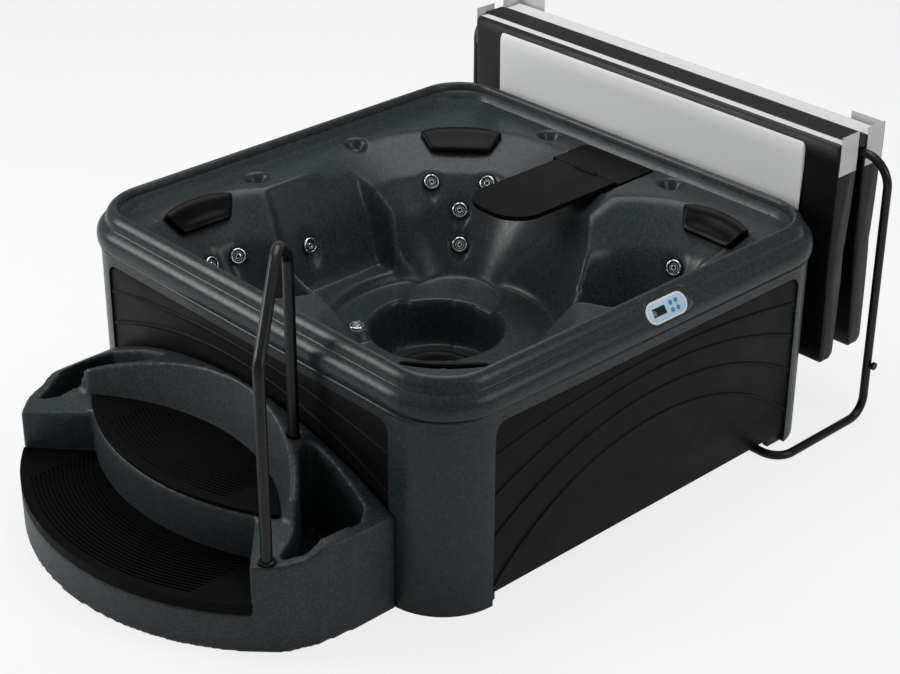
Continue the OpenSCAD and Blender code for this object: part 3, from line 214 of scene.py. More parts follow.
# Millimetres: the ledge's height, where the rounded corners begin, the rim's inner foot, and each seat's
# centre with its radii and heights from the floor of the seat to the ledge.
ledge, corner, inner_half = 800.0, 730.0, 893.0
footwell, foot_jet = (-70.0, -15.0), (-215.0, -278.0)
seats = {"left": ((-350, -580), (170, 250, 300, 440), (345, 520, 650, 800)),
         "back": ((-205, 205), (180, 335, 400, 575), (345, 600, 690, 800)),
         "right": ((600, 333), (170, 250, 300, 440), (345, 520, 650, 800)),
         "front": ((430, -432), (170, 250, 300, 440), (345, 520, 650, 800))}


def seat_slope(seat, z):
    radii, heights = seats[seat][1], seats[seat][2]
    i = 0 if z < heights[1] else 1 if z < heights[2] else 2
    return math.atan2(heights[i + 1] - heights[i], radii[i + 1] - radii[i])


def on_seat(seat, turn, z):
    """A jet's place on a seat's back: the point, the turn about Z and the slope."""
    centre, radii, heights = seats[seat]
    r = np.interp(z, heights, radii)
    a = math.radians(turn)
    return (centre[0] + r * math.cos(a), centre[1] + r * math.sin(a), z), a, seat_slope(seat, z)


bench_lean = math.atan2(200, 65)
jets = [on_seat("back", 150.4, 665), on_seat("back", 117.4, 665), on_seat("back", 133, 570),
        on_seat("back", 132, 455), on_seat("left", -174, 610), on_seat("left", 163, 610),
        on_seat("left", -150, 610), on_seat("right", 105, 610),
        ((-540 - 160 / math.tan(bench_lean), -180.0, 560.0), math.pi, bench_lean),
        (foot_jet + (400.0,), 0.0, 0.0)]
cup_places = [(-790, -265), (-790, 225), (-330, 835), (300, 835)]


def axes_of(place):
    """A jet's point and its directions across the slope, up the slope and out of it."""
    at, turn, lean = place
    across = np.array([-math.sin(turn), math.cos(turn), 0])
    out = np.array([-math.sin(lean) * math.cos(turn), -math.sin(lean) * math.sin(turn), math.cos(lean)])
    return np.array(at, float), across, np.cross(out, across), out


def basin_height(x, y):
    """Height of the seats, the three benches between them, the middle and the ledge."""
    fields = []
    for centre, radii, heights in seats.values():
        away = np.hypot(x - centre[0], y - centre[1])
        fields.append(np.interp(away, (0,) + radii + (radii[3] + 400,), (heights[0],) + heights + (1220,)))
    for along, side, low, high in ((-x, -y, -120, 300), (x, y, -230, 110), (-y, x, -150, 240)):
        across = np.maximum(low - side, side - high)
        back_rest = np.interp(along, (-200, 60, 540, 605, 690, 770), (1200, 400, 400, 600, 800, 1000))
        fields.append(back_rest + np.maximum(across, 0) * 3.2)
    away = np.hypot(x + 30, y + 15)
    fields.append(np.interp(away, (0, 420, 560, 900), (360, 360, 800, 1870)))
    low = soft_least(fields, 13)
    wall = 100 + (np.maximum(abs(x), abs(y)) - 690) * (700 / 145)
    low = -soft_least([-low, -wall], 12)
    return soft_least([low, np.full_like(low, ledge)], 7)


def moulded_height(x, y):
    z = basin_height(x, y)
    # Footwell, the raised ring round it and the hump that carries the foot jet.
    from_well = np.hypot(x - footwell[0], y - footwell[1])
    z = np.minimum(z, 160 + (1 - smooth_step(-from_well, -252, -238)) * 900)
    from_hump = np.hypot(x - foot_jet[0], y - foot_jet[1])
    z = np.where(from_hump < 66, np.maximum(z, 400 - 60 * smooth_step(from_hump, 44, 66)), z)
    # Each jet sits low in an egg-shaped hollow that runs up the slope.
    for place in jets[:9]:
        at, across, upward, out = axes_of(place)
        side = (x - at[0]) * across[0] + (y - at[1]) * across[1]
        rise = ((x - at[0]) * upward[0] + (y - at[1]) * upward[1]) / (upward[0] ** 2 + upward[1] ** 2)
        reach = np.where(rise > 0, 74, 46)
        egg = np.hypot(side / (44 - 0.12 * np.maximum(rise, 0)), rise / reach)
        z = z - (9 / out[2]) * (1 - smooth_step(egg, 0.78, 1.08))
    for cup in cup_places:
        from_cup = np.hypot(x - cup[0], y - cup[1])
        z = np.where(from_cup < 60, np.minimum(z, ledge - 45 * (1 - smooth_step(from_cup, 32, 42))), z)
    # The shelf for the filter's lid and the well for its housing.
    lid = (abs(x) < 171) & (y > 645) & (y < 879)
    z = np.where(lid, np.minimum(z, 781.5), z)
    well = (abs(x) < 162) & (y > 634) & (y < 760)
    z = np.where(well, 246.0, z)
    return np.where((abs(x) < 162) & (y >= 760) & (y < 873), np.minimum(z, 556.0), z)


def rounded_grid(half, count):
    """A square grid drawn in at its corners to a rounded square."""
    steps = np.linspace(-half, half, count + 1)
    x, y = np.meshgrid(steps, steps, indexing="ij")
    far, near = np.maximum(abs(x), abs(y)), np.minimum(abs(x), abs(y))
    slant = np.divide(near, far, out=np.zeros_like(far), where=far > 0)
    flat = (corner / half) >= slant
    # Where the ray from the middle meets the corner's arc of the rounded square.
    a, b, c = 1 + slant ** 2, -2 * corner * (1 + slant), 2 * corner ** 2 - (half - corner) ** 2
    arc = (-b + np.sqrt(np.maximum(b * b - 4 * a * c, 0))) / (2 * a)
    scale = np.where(flat, 1.0, arc / half)
    return x * scale, y * scale


def border(columns, rows):
    """A grid's outer points in order round it."""
    return ([(i, 0) for i in range(columns)] + [(columns, j) for j in range(rows)]
            + [(i, rows) for i in range(columns, 0, -1)] + [(0, j) for j in range(rows, 0, -1)])


cells = 236
grid_x, grid_y = rounded_grid(inner_half, cells)
grid_z = blurred(moulded_height(grid_x, grid_y), 0.9)
ring = np.array([i * (cells + 1) + j for i, j in border(cells, cells)])
points = [np.stack([grid_x.ravel(), grid_y.ravel(), grid_z.ravel()], 1)]
n = cells + 1
quad = np.arange(cells)[:, None] * n + np.arange(cells)[None, :]
faces = [np.stack([quad, quad + n, quad + n + 1, quad + 1], -1).reshape(-1, 4)]
edge = points[0][ring][:, :2]
core = np.clip(edge, -corner, corner)
outward = edge - core
outward /= np.linalg.norm(outward, axis=1)[:, None]


def bowed(a, b, sag, count):
    """Points from a to b along a shallow bow."""
    a, b = np.array(a, float), np.array(b, float)
    t = np.linspace(0, 1, count + 1)[:, None]
    along = (b - a) / np.linalg.norm(b - a)
    return [tuple(p) for p in a + (b - a) * t + np.array([-along[1], along[0]]) * 4 * sag * t * (1 - t)]


# The rim from its inner foot over the crest, the first band, the groove and the second band.
rim_line = ([(893.4, 806), (894, 828), (896, 842)] + bowed((899, 852), (911, 863), 3, 3)
            + bowed((917, 861.5), (945.5, 818), 7, 6) + [(946.8, 814.5), (949.2, 812.6)]
            + bowed((953, 810), (979.6, 766), 6.5, 6)
            + [(980, 760), (979, 745), (977, 738), (972, 733), (966, 730.2), (954, 730.6), (956, 745),
               (958, 765), (930, 806), (904, 840), (896, 838), (884, 792), (880, 786)])
# The control panel's place on the rim's slope, in millimetres.
panel_long, panel_wide = 195, 78
at_panel = Matrix.Translation((955, 65, 804)) @ Matrix.Rotation(math.atan2(98, 69), 4, "Y")


def panel_seat(p):
    """Presses points of the rim down into a soft-edged seat for the control panel."""
    turn, shift = np.array(at_panel.to_3x3()), np.array(at_panel.translation)
    local = (p - shift) @ turn
    straight = np.maximum(abs(local[:, 1]) - (panel_long - panel_wide) / 2, 0)
    beyond = np.hypot(straight, local[:, 0]) - panel_wide / 2
    level = np.maximum(beyond - 4, 0) * 0.8 - 1.2
    pressed = (beyond < 16) & (local[:, 2] > level)
    local[pressed, 2] = level[pressed]
    return local @ turn.T + shift


rows = len(rim_line)
first = len(points[0])
for half, z in rim_line:
    band = np.column_stack([edge + outward * (half - inner_half), np.full(len(ring), z)])
    points.append(panel_seat(band))
around = np.arange(len(ring))
after = np.roll(around, -1)
bands = [ring] + [first + k * len(ring) + around for k in range(rows)]
for inner, outer in zip(bands, bands[1:]):
    faces.append(np.stack([inner, outer, outer[after], inner[after]], 1))
# The underside is a coarser sheet that stays clear below every hollow.
coarse, under_half, under_z, wall_mm = cells // 4, 880, 786.0, 13
low_x, low_y = rounded_grid(under_half, coarse)
under = np.full((coarse + 1, coarse + 1), under_z)
for i in range(1, coarse):
    for j in range(1, coarse):
        patch = grid_z[max(4 * i - 5, 0):4 * i + 6, max(4 * j - 5, 0):4 * j + 6]
        under[i, j] = min(patch.min() - wall_mm, under_z)
base = first + rows * len(ring)
points.append(np.stack([low_x.ravel(), low_y.ravel(), under.ravel()], 1))
m = coarse + 1
quad = base + np.arange(coarse)[:, None] * m + np.arange(coarse)[None, :]
faces.append(np.stack([quad, quad + 1, quad + m + 1, quad + m], -1).reshape(-1, 4))
low_ring = np.array([base + i * m + j for i, j in border(coarse, coarse)])
triangles = []
for i in range(len(low_ring)):
    a, b = low_ring[i], low_ring[(i + 1) % len(low_ring)]
    fine = [bands[-1][(4 * i + k) % len(ring)] for k in range(5)]
    triangles += [(fine[k], a, fine[k + 1]) for k in range(2)] + [(a, b, fine[2])]
    triangles += [(fine[k], b, fine[k + 1]) for k in range(2, 4)]
all_faces = [tuple(f) for block in faces for f in block] + triangles
granite = speckled_acrylic("granite_acrylic", "#252c2d", "#14191a", "#3c4546", 0.3)
tub = put_mesh("tub_shell_moulding", np.concatenate(points) / 1000, all_faces, granite)
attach(tub, "tub")
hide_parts("tub_shell")


# Cabinet: four moulded corner posts and the band under the rim, in the shell's granite colour. The
# posts are open at the back and stand on the floor; the side panels close the gaps between them.
def copied(name, node, material, angle=35, bevel=0.0):
    """A merged copy of a CAD node, smooth except at real edges, with those edges rounded if a bevel width
    is given.
    """
    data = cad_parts[node].data
    mesh = bpy.data.meshes.new(name)
    mesh.from_pydata([tuple(v.co) for v in data.vertices], [], [tuple(p.vertices) for p in data.polygons])
    work = bmesh.new()
    work.from_mesh(mesh)
    bmesh.ops.remove_doubles(work, verts=work.verts, dist=0.00002)
    bmesh.ops.dissolve_limit(work, angle_limit=math.radians(0.6), verts=work.verts, edges=work.edges)
    work.to_mesh(mesh)
    work.free()
    mesh.materials.append(material)
    mesh.polygons.foreach_set("use_smooth", [True] * len(mesh.polygons))
    mesh.set_sharp_from_angle(angle=math.radians(75 if bevel else angle))
    piece = bpy.data.objects.new(name, mesh)
    scene.collection.objects.link(piece)
    if bevel:
        round_over = piece.modifiers.new("rounded_edges", "BEVEL")
        round_over.width, round_over.segments = bevel, 2
        round_over.limit_method, round_over.angle_limit = "ANGLE", math.radians(angle)
    return piece


def fixed(piece, body, *nodes):
    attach(piece, body)
    if nodes:
        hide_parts(*nodes)
    return piece


def from_cad(name, node, material, angle=35, bevel=0.0, body="tub"):
    return fixed(copied(name, node, material, angle, bevel), body, node)


from_cad("cabinet_posts", "cabinet_frame", granite, 30)


# Base pan on its bearers: rotation-moulded black polyethylene, matt, with a fine grain.
def moulded_black(name, colour, roughness, grain, depth, shine=0.25):
    made, tree, place = surface(name)
    cloud = add_node(tree, "ShaderNodeTexNoise", {"Scale": 9.0, "Detail": 3.0}, {"Vector": place})
    # Leather-like grain of the mould, cells about 1.5 mm, drawn at 2 to 4 mm.
    cell = add_node(tree, "ShaderNodeTexVoronoi", {"Scale": grain}, {"Vector": place}, feature="SMOOTH_F1")
    wear = add_node(tree, "ShaderNodeMapRange", {"From Min": 0.3, "From Max": 0.7,
                                                 "To Min": roughness - 0.05, "To Max": roughness + 0.07},
                    {0: cloud.outputs[0]})
    return finish(made, tree, cell, 0.25, depth, {"Base Color": srgb(colour), "IOR": 1.49,
                                                  "Specular IOR Level": shine},
                  {"Roughness": wear.outputs[0]})


polyethylene = moulded_black("moulded_polyethylene", "#121213", 0.5, 330.0, 0.0008, 0.2)
from_cad("base_pan_moulding", "base_pan", polyethylene, 30, 0.004)


# Side panels: black structural-foam boards that lift off, with rounded top corners and four raised
# ribs moulded as long arcs. Each rib is a low half-round that runs out at the panel's edges.
def outline(low, high, z0, z1, r):
    """A board's edge: square at the bottom, and rounded by r at its two top corners."""
    line, steps = [(low, z0), (high, z0)], 10
    for cx, start in ((high - r, 0), (low + r, 90)):
        line += [(cx + r * math.cos(math.radians(start + 90 * k / steps)),
                  z1 - r + r * math.sin(math.radians(start + 90 * k / steps))) for k in range(steps + 1)]
    return line


def stacked(rings):
    """Points and faces of a closed solid of like rings, from the first to the last."""
    points, faces, count = [], [], len(rings[0])
    for k, ring in enumerate(rings):
        points += ring
        if k:
            faces += [((k - 1) * count + i, (k - 1) * count + (i + 1) % count, k * count + (i + 1) % count,
                       k * count + i) for i in range(count)]
    last = (len(rings) - 1) * count
    return points, faces + [tuple(range(count - 1, -1, -1)), tuple(last + i for i in range(count))]


def put_solid(name, rings, material, angle, turn_over=False):
    """A piece from stacked rings of points in millimetres, if asked with its faces turned over."""
    points, faces = stacked(rings)
    if turn_over:
        faces = [(f[0],) + f[:0:-1] if len(f) == 4 else f[::-1] for f in faces]
    return put_mesh(name, np.array(points) / 1000, faces, material, angle)


def rib_line(peak_x, peak_z, radius, low, high, floor):
    """Points along an arc about a centre below its peak, kept between the panel's edges."""
    line = []
    for k in range(161):
        x = low + (high - low) * k / 160
        inside = radius ** 2 - (x - peak_x) ** 2
        if inside > 0:
            z = peak_z - radius + math.sqrt(inside)
            if z > floor:
                line.append((x, z))
    return line


def sweep_tree(name, sizes, bend):
    """A group that sweeps a profile along a mesh's lines. bend gives the path and the profile."""
    tree = bpy.data.node_groups.new(name, "GeometryNodeTree")
    tree.interface.new_socket("Lines", in_out="INPUT", socket_type="NodeSocketGeometry")
    for size, value in sizes:
        tree.interface.new_socket(size, in_out="INPUT", socket_type="NodeSocketFloat").default_value = value
    tree.interface.new_socket("Finish", in_out="INPUT", socket_type="NodeSocketMaterial")
    tree.interface.new_socket("Skin", in_out="OUTPUT", socket_type="NodeSocketGeometry")
    given = add_node(tree, "NodeGroupInput").outputs
    line = add_node(tree, "GeometryNodeMeshToCurve", links={"Mesh": given["Lines"]})
    path, profile = bend(tree, given, line.outputs[0])
    skin = add_node(tree, "GeometryNodeCurveToMesh", {"Fill Caps": True},
                    {"Curve": path, "Profile Curve": profile})
    smooth = add_node(tree, "GeometryNodeSetShadeSmooth", links={0: skin.outputs[0]})
    real = add_node(tree, "GeometryNodeRealizeInstances", links={0: smooth.outputs[0]})
    done = add_node(tree, "GeometryNodeSetMaterial", {},
                    {0: real.outputs[0], "Material": given["Finish"]})
    add_node(tree, "NodeGroupOutput", links={0: done.outputs[0]})
    return tree


def flattened_round(tree, given, line):
    ring = add_node(tree, "GeometryNodeCurvePrimitiveCircle", {"Resolution": 12, "Radius": 1.0})
    half_width = add_node(tree, "ShaderNodeMath", {1: 0.5}, {0: given["Width"]}, operation="MULTIPLY")
    shape = add_node(tree, "ShaderNodeCombineXYZ", {"Z": 1.0},
                     {"X": given["Height"], "Y": half_width.outputs[0]})
    flat = add_node(tree, "GeometryNodeTransform", links={0: ring.outputs[0], "Scale": shape.outputs[0]})
    return line, flat.outputs[0]


def from_lines(name, tree, lines, values):
    """Runs a tree on a mesh of lines and keeps the result as a plain mesh."""
    points, edges = [], []
    for line in lines:
        edges += [(len(points) + k, len(points) + k + 1) for k in range(len(line) - 1)]
        points += line
    mesh = bpy.data.meshes.new(name)
    mesh.from_pydata(points, edges, [])
    guide = bpy.data.objects.new(name + "_lines", mesh)
    scene.collection.objects.link(guide)
    work = guide.modifiers.new("sweep", "NODES")
    work.node_group = tree
    for item in tree.interface.items_tree:
        if item.item_type == "SOCKET" and item.in_out == "INPUT" and item.name in values:
            work[item.identifier] = values[item.name]
    made = bpy.data.meshes.new_from_object(guide.evaluated_get(bpy.context.evaluated_depsgraph_get()))
    guide.modifiers.clear()
    bpy.data.objects.remove(guide)
    made.name = name
    piece = bpy.data.objects.new(name, made)
    scene.collection.objects.link(piece)
    return piece


panel_black = moulded_black("structural_foam_black", "#101011", 0.45, 260.0, 0.0006, 0.1)
rib_sweep = sweep_tree("ribs_along_lines", (("Width", 0.014), ("Height", 0.005)), flattened_round)
# Each rib's highest point on its arc's line and the arc's radius, from the top rib down.
rib_arcs = ((640, 3842), (585, 1845), (503, 1342), (398, 1071))
panel_low, panel_high, panel_round = 40, 685, 49
for side, turn, low, high, lean in (("access", 0, -729, 770, 1), ("front", -90, -770, 729, -1),
                                    ("left", 180, -770, 770, 1), ("back", 90, -770, 770, -1)):
    stand = Matrix.Rotation(math.radians(turn), 4, "Z")
    edge_line = np.array(outline(low + 1, high - 1, panel_low, panel_high, panel_round))
    middle = np.array([(low + high) / 2, 362])
    rings = []
    for depth, inset in ((945, 0), (954.5, 0), (956.2, 0.7), (957, 2.4)):
        drawn_in = middle + (edge_line - middle) * (1 - inset / 400)
        rings.append([stand @ Vector((depth, across, z)) for across, z in drawn_in])
    fixed(put_solid("panel_%s_board" % side, rings, panel_black, 40), "tub", "panel_" + side)
    lines = []
    for peak, radius in rib_arcs:
        arc = rib_line(lean * 60, peak, radius, low + 9, high - 9, panel_low + 12)
        lines.append([stand @ Vector((0.9568, across / 1000, z / 1000)) for across, z in arc])
    fixed(from_lines("panel_%s_ribs" % side, rib_sweep, lines,
                     {"Width": 0.017, "Height": 0.0048, "Finish": panel_black}), "tub")


# Neck pillows: skinned soft foam in satin black, arched to the seat's back. They fan out upward, and
# the ends are cut off square with a rounded edge.
def skinned_foam():
    made, tree, place = surface("skinned_foam")
    # Fine closed pores of the foam's skin, about 1 mm, drawn at 2 mm.
    pore = add_node(tree, "ShaderNodeTexNoise", {"Scale": 420.0, "Detail": 3.0}, {"Vector": place})
    soft = add_node(tree, "ShaderNodeTexNoise", {"Scale": 14.0}, {"Vector": place})
    sheen = add_node(tree, "ShaderNodeMapRange", {"To Min": 0.26, "To Max": 0.4}, {0: soft.outputs[0]})
    return finish(made, tree, pore, 0.15, 0.0005, {"Base Color": srgb("#040405"), "IOR": 1.5,
                                                   "Specular IOR Level": 0.1},
                  {"Roughness": sheen.outputs[0]})


def bowl_pillow(seat, turn, half_turn, middle):
    """Places a point t along the pillow, u up the slope and v off it on a bowl seat's back."""
    centre, radii, _ = seats[seat]
    lean = seat_slope(seat, 790)
    z_mid = ledge - (radii[3] - middle) * math.tan(lean)

    def place(t, u, v):
        turn_at = math.radians(turn + half_turn * t * (1 + 0.12 * u / 54))
        r = middle + math.cos(lean) * u - math.sin(lean) * v
        return (centre[0] + r * math.cos(turn_at), centre[1] + r * math.sin(turn_at),
                z_mid + math.sin(lean) * u + math.cos(lean) * v)
    return place


foam_skin = skinned_foam()
rows, around = 52, 44
for seat, turn, half_turn, middle in (("left", 179, 19.5, 400), ("back", 134, 15.5, 523),
                                      ("right", 89, 19.5, 400), ("front", -45, 19.5, 378)):
    place = bowl_pillow(seat, turn, half_turn, middle)
    rings = []
    for i in range(rows + 1):
        t, ring = 2 * i / rows - 1, []
        # The last rings close the end with a small radius.
        end = max(0.0, (abs(t) - 0.93) / 0.07)
        close = math.sqrt(max(0.0, 1 - end ** 2))
        high = (52 + 7 * (1 - t * t)) * (1 - 0.1 * abs(t) ** 5) - 5 * (1 - close)
        thick = 33 * (1 - 0.32 * abs(t) ** 4) * (0.7 + 0.3 * close)
        for k in range(around):
            c, s = math.cos(2 * math.pi * k / around), math.sin(2 * math.pi * k / around)
            u = high * math.copysign(abs(c) ** 0.62, c) * (0.88 + 0.12 * close)
            v = 1.0 + thick * (0.5 + 0.5 * math.copysign(abs(s) ** 0.75, s))
            # A shallow trough along the middle, where the neck lies.
            v -= 6.0 * math.exp(-((u + 6) / 22) ** 2) * max(s, 0) * (1 - t ** 4)
            ring.append(place(t, u, v))
        rings.append(ring)
    pad = put_solid("neck_pillow_" + seat, rings, foam_skin, 50)
    pad.data.flip_normals()
    fixed(pad, "tub", "pillow_" + seat)


# Jets: a black barrel with a flange behind, and in it a turning face: a chromed ring with three pads, a
# black dish with a thin bright bead, and a chromed nozzle with a dark bore.
def bright_chrome(name, roughness, colour="#d5d8da"):
    made, tree, place = surface(name)
    # Water marks and faint polishing lines, about 4 mm across.
    marks = add_node(tree, "ShaderNodeTexNoise", {"Scale": 240.0, "Detail": 4.0}, {"Vector": place})
    spread = add_node(tree, "ShaderNodeMapRange", {"From Min": 0.4, "From Max": 0.75, "To Min": roughness,
                                                   "To Max": roughness + 0.12}, {0: marks.outputs[0]})
    metal = add_node(tree, "ShaderNodeBsdfPrincipled", {"Base Color": srgb(colour), "Metallic": 1.0},
                     {"Roughness": spread.outputs[0]})
    add_node(tree, "ShaderNodeOutputMaterial", links={0: metal.outputs[0]})
    return made


def turned(line, steps=48):
    """Points and faces of a profile of radius and height turned about its axis."""
    points, faces, rows = [], [], []
    for r, h in line:
        if r == 0:
            rows.append([len(points)])
            points.append((0.0, 0.0, h))
        else:
            rows.append(list(range(len(points), len(points) + steps)))
            points += [(r * math.cos(2 * math.pi * k / steps), r * math.sin(2 * math.pi * k / steps), h)
                       for k in range(steps)]
    for a, b in zip(rows, rows[1:]):
        for k in range(steps):
            n = (k + 1) % steps
            if len(a) == 1:
                faces.append((a[0], b[n], b[k]))
            elif len(b) == 1:
                faces.append((a[k], a[n], b[0]))
            else:
                faces.append((a[k], a[n], b[n], b[k]))
    return points, faces


def place_matrix(place):
    at, across, upward, out = axes_of(place)
    return Matrix(((across[0], upward[0], out[0], at[0]), (across[1], upward[1], out[1], at[1]),
                   (across[2], upward[2], out[2], at[2]), (0, 0, 0, 1)))


def set_in(name, parts, matrix, material, angle=35):
    """Joins (points, faces) parts in millimetres and sets them at a place."""
    points, faces = [], []
    for p, f in parts:
        faces += [tuple(i + len(points) for i in face) for face in f]
        points += p
    points = [(matrix @ Vector(p)) / 1000 for p in points]
    return put_mesh(name, points, faces, material, angle)


chrome = bright_chrome("chromed_abs", 0.14)
barrel_black = moulded_black("moulded_abs_black", "#0e0f10", 0.32, 500.0, 0.0003)
from_cad("jet_barrels", "jet_bodies", barrel_black, 30)
jet_ring = turned([(24, -1.0), (30, -0.4), (30.2, 1.2), (29.9, 3.4), (28.4, 5.6), (26, 6.6), (24, 6.2),
                   (23, 4.4), (22.6, 1), (22.6, -1), (24, -1.0)])
jet_dish = turned([(22.9, -1), (22.9, 0.6), (17, -2.5), (12.2, -4.2), (12.2, -18), (17.6, -18),
                   (17.6, -2.8), (22.9, -1)])
jet_bead = turned([(16.8, -1.6), (18, -0.2), (17.2, 1.4), (15.4, 1.4), (14.6, -0.6), (15.4, -2.4),
                   (16.8, -1.6)])
jet_nozzle = turned([(5.4, -16), (11.6, -16), (11.9, 1), (11.2, 4.6), (9.6, 6.6), (7.6, 6.8), (6.2, 5.2),
                     (5.4, 3), (5.4, -16)])
jet_hole = turned([(0, -15.8), (5.6, -15.8), (5.6, -9), (0, -9)])


def grip(turn):
    """One of the pads on the chrome ring that fingers turn it by."""
    c, s = math.cos(turn), math.sin(turn)
    near, far, half = 24.4, 28.8, 3.4
    return stacked([[(x * c - y * s, x * s + y * c, z)
                     for x, y in ((near - grow, -half - grow), (far + grow, -half - grow),
                                  (far + grow, half + grow), (near - grow, half + grow))]
                    for z, grow in ((3.0, 0.0), (7.2, 0.0), (7.9, -0.8))])


grips = [grip(math.radians(30 + 120 * k)) for k in range(3)]
for number, place in enumerate(jets, 1):
    stand = place_matrix(place)
    face = set_in("jet_%d_face" % number, [jet_ring, jet_bead, jet_nozzle] + grips, stand, chrome)
    fixed(face, "jet_%d" % number, "jet_face_%d" % number)
    dish = set_in("jet_%d_dish" % number, [jet_dish, jet_hole], stand, barrel_black)
    fixed(dish, "jet_%d" % number)


# Suction cover and the drain disc in the footwell: thick black grilles that water passes through.
from_cad("suction_grille", "suction_cover", barrel_black, 30, 0.0015)
disc = [turned([(0, 160.4), (167.6, 160.4), (168, 162), (167, 166.6), (163, 168.2), (150, 168.2),
                (146, 166.6), (92, 166.6), (88, 168.2), (30, 168.2), (0, 168.2)], 96)]
fixed(set_in("footwell_disc_plate", disc, Matrix.Translation(footwell + (0,)), barrel_black, 30), "tub",
      "footwell_disc")


# Filter: a black housing with a slotted front, two pleated cartridges, the fixed lid, and the drinks
# tray that hinges on the lid by two moulded knuckles and a steel pin.
from_cad("filter_housing_box", "filter_housing", barrel_black, 30, 0.002)
cloth, tree, place = surface("pleated_filter_cloth")
# Spun fibre of the cloth, under 0.5 mm, drawn at 1 mm.
weave = add_node(tree, "ShaderNodeTexNoise", {"Scale": 900.0, "Detail": 2.0}, {"Vector": place})
finish(cloth, tree, weave, 0.3, 0.0004, {"Base Color": srgb("#e6e8ea"), "Roughness": 0.85,
                                         "Sheen Weight": 0.2})
cap_blue = moulded_black("cartridge_end_cap", "#2a5d92", 0.4, 500.0, 0.0003)
pleats, fold_out, fold_in, filter_y = 44, 46, 33, 700
for side, x in (("left", -80), ("right", 80)):
    line = [((fold_out if k % 2 else fold_in) * math.cos(math.pi * k / pleats),
             (fold_out if k % 2 else fold_in) * math.sin(math.pi * k / pleats)) for k in range(2 * pleats)]
    rings = [[(x + px, filter_y + py, z) for px, py in line] for z in (277, 667)]
    fixed(put_solid("cartridge_pleats_" + side, rings, cloth, 0), "tub",
          *(["filter_cartridge"] if side == "left" else []))
    ends = [turned([(18, z), (49, z), (50, z + 2), (50, z + 14), (49, z + 16), (18, z + 16), (18, z)])
            for z in (262.5, 666)]
    fixed(set_in("cartridge_caps_" + side, ends, Matrix.Translation((x, filter_y, 0)), cap_blue), "tub")
tray_black = moulded_black("moulded_tray_black", "#0a0a0b", 0.42, 500.0, 0.0003, 0.08)
from_cad("filter_lid_plate", "filter_lid", tray_black, 40, 0.003)
from_cad("drinks_tray", "tray_flap", tray_black, 40, 0.004, "tray")
steel = bright_chrome("drawn_steel", 0.22, "#b9bcbf")
from_cad("tray_hinge_pin", "tray_pin", steel, 30)


# Control panel: a white bezel set in the rim, a dark display window and four soft blue keys, and two
# air knobs on the ledge in the shell's colour.
def oval(length, width, z, steps=24):
    r, line = width / 2, []
    for side in (1, -1):
        line += [(side * r * math.cos(math.pi * k / steps),
                  side * ((length - width) / 2 + r * math.sin(math.pi * k / steps)), z)
                 for k in range(steps + 1)]
    return line


def plain_plastic(name, colour, roughness):
    made, tree, place = surface(name)
    # The moulded face's fine texture, about 0.5 mm, drawn at 1.5 mm.
    grain = add_node(tree, "ShaderNodeTexNoise", {"Scale": 650.0, "Detail": 2.0}, {"Vector": place})
    return finish(made, tree, grain, 0.1, 0.0003, {"Base Color": srgb(colour), "Roughness": roughness,
                                                   "IOR": 1.5, "Specular IOR Level": 0.4})


bezel_white = plain_plastic("moulded_white_asa", "#e4ebf1", 0.28)
rings = [oval(panel_long - inset, panel_wide - inset, z)
         for inset, z in ((0, -8.8), (0, -1.0), (1, 0.8), (5, 2.2), (11, 2.4))]
inlay = plain_plastic("light_blue_overlay", "#b6d3e6", 0.3)
fixed(set_in("control_bezel_frame", [stacked(rings)], at_panel, bezel_white), "tub", "control_bezel")
face = [oval(180, 63, 2.1), oval(180, 63, 2.9), oval(179, 62, 3.1)]
fixed(set_in("control_overlay", [stacked(face)], at_panel, inlay), "tub")
window = plain_plastic("display_window", "#141d28", 0.08)
block = [[(-14.7, -68.7, z), (14.7, -68.7, z), (14.7, -7.3, z), (-14.7, -7.3, z)] for z in (2.2, 3.7)]
block.append([(x * 0.95, -38 + (y + 38) * 0.97, 4.1) for x, y, _ in block[0]])
fixed(set_in("display_glass", [stacked(block)], at_panel, window), "tub", "control_display")
key_blue = plain_plastic("silicone_key", "#4c7fa8", 0.45)
for k in range(4):
    x, y = (-13 if k < 2 else 13), (22 if k % 2 == 0 else 48)
    key = [turned([(0, 0.5), (7.9, 0.5), (8, 4.4), (7.2, 5.4), (5, 5.8), (0, 5.7)], 32)]
    fixed(set_in("key_%d" % (k + 1), key, at_panel @ Matrix.Translation((x, y, 0)), key_blue),
          "button_%d" % (k + 1), "button_%d" % (k + 1))
for number, (x, y) in ((1, (864, 99)), (2, (864, 297))):
    knob = [turned([(0, 800.4), (20, 800.4), (21, 801.2), (21, 803.6), (19.6, 805.2), (18.6, 806),
                    (16.4, 815), (14.6, 816.8), (9, 817.2), (0, 817.2)], 64)]
    pinch = [[(sx * wide, sy * long, z) for sx, sy in ((-1, -1), (1, -1), (1, 1), (-1, 1))]
             for wide, long, z in ((3.4, 17, 812), (3.0, 16.6, 818.5), (2.0, 15.5, 820))]
    fixed(set_in("air_knob_%d_cap" % number, knob + [stacked(pinch)], Matrix.Translation((x, y, 0)),
                 granite), "knob_%d" % number, "air_knob_%d" % number)


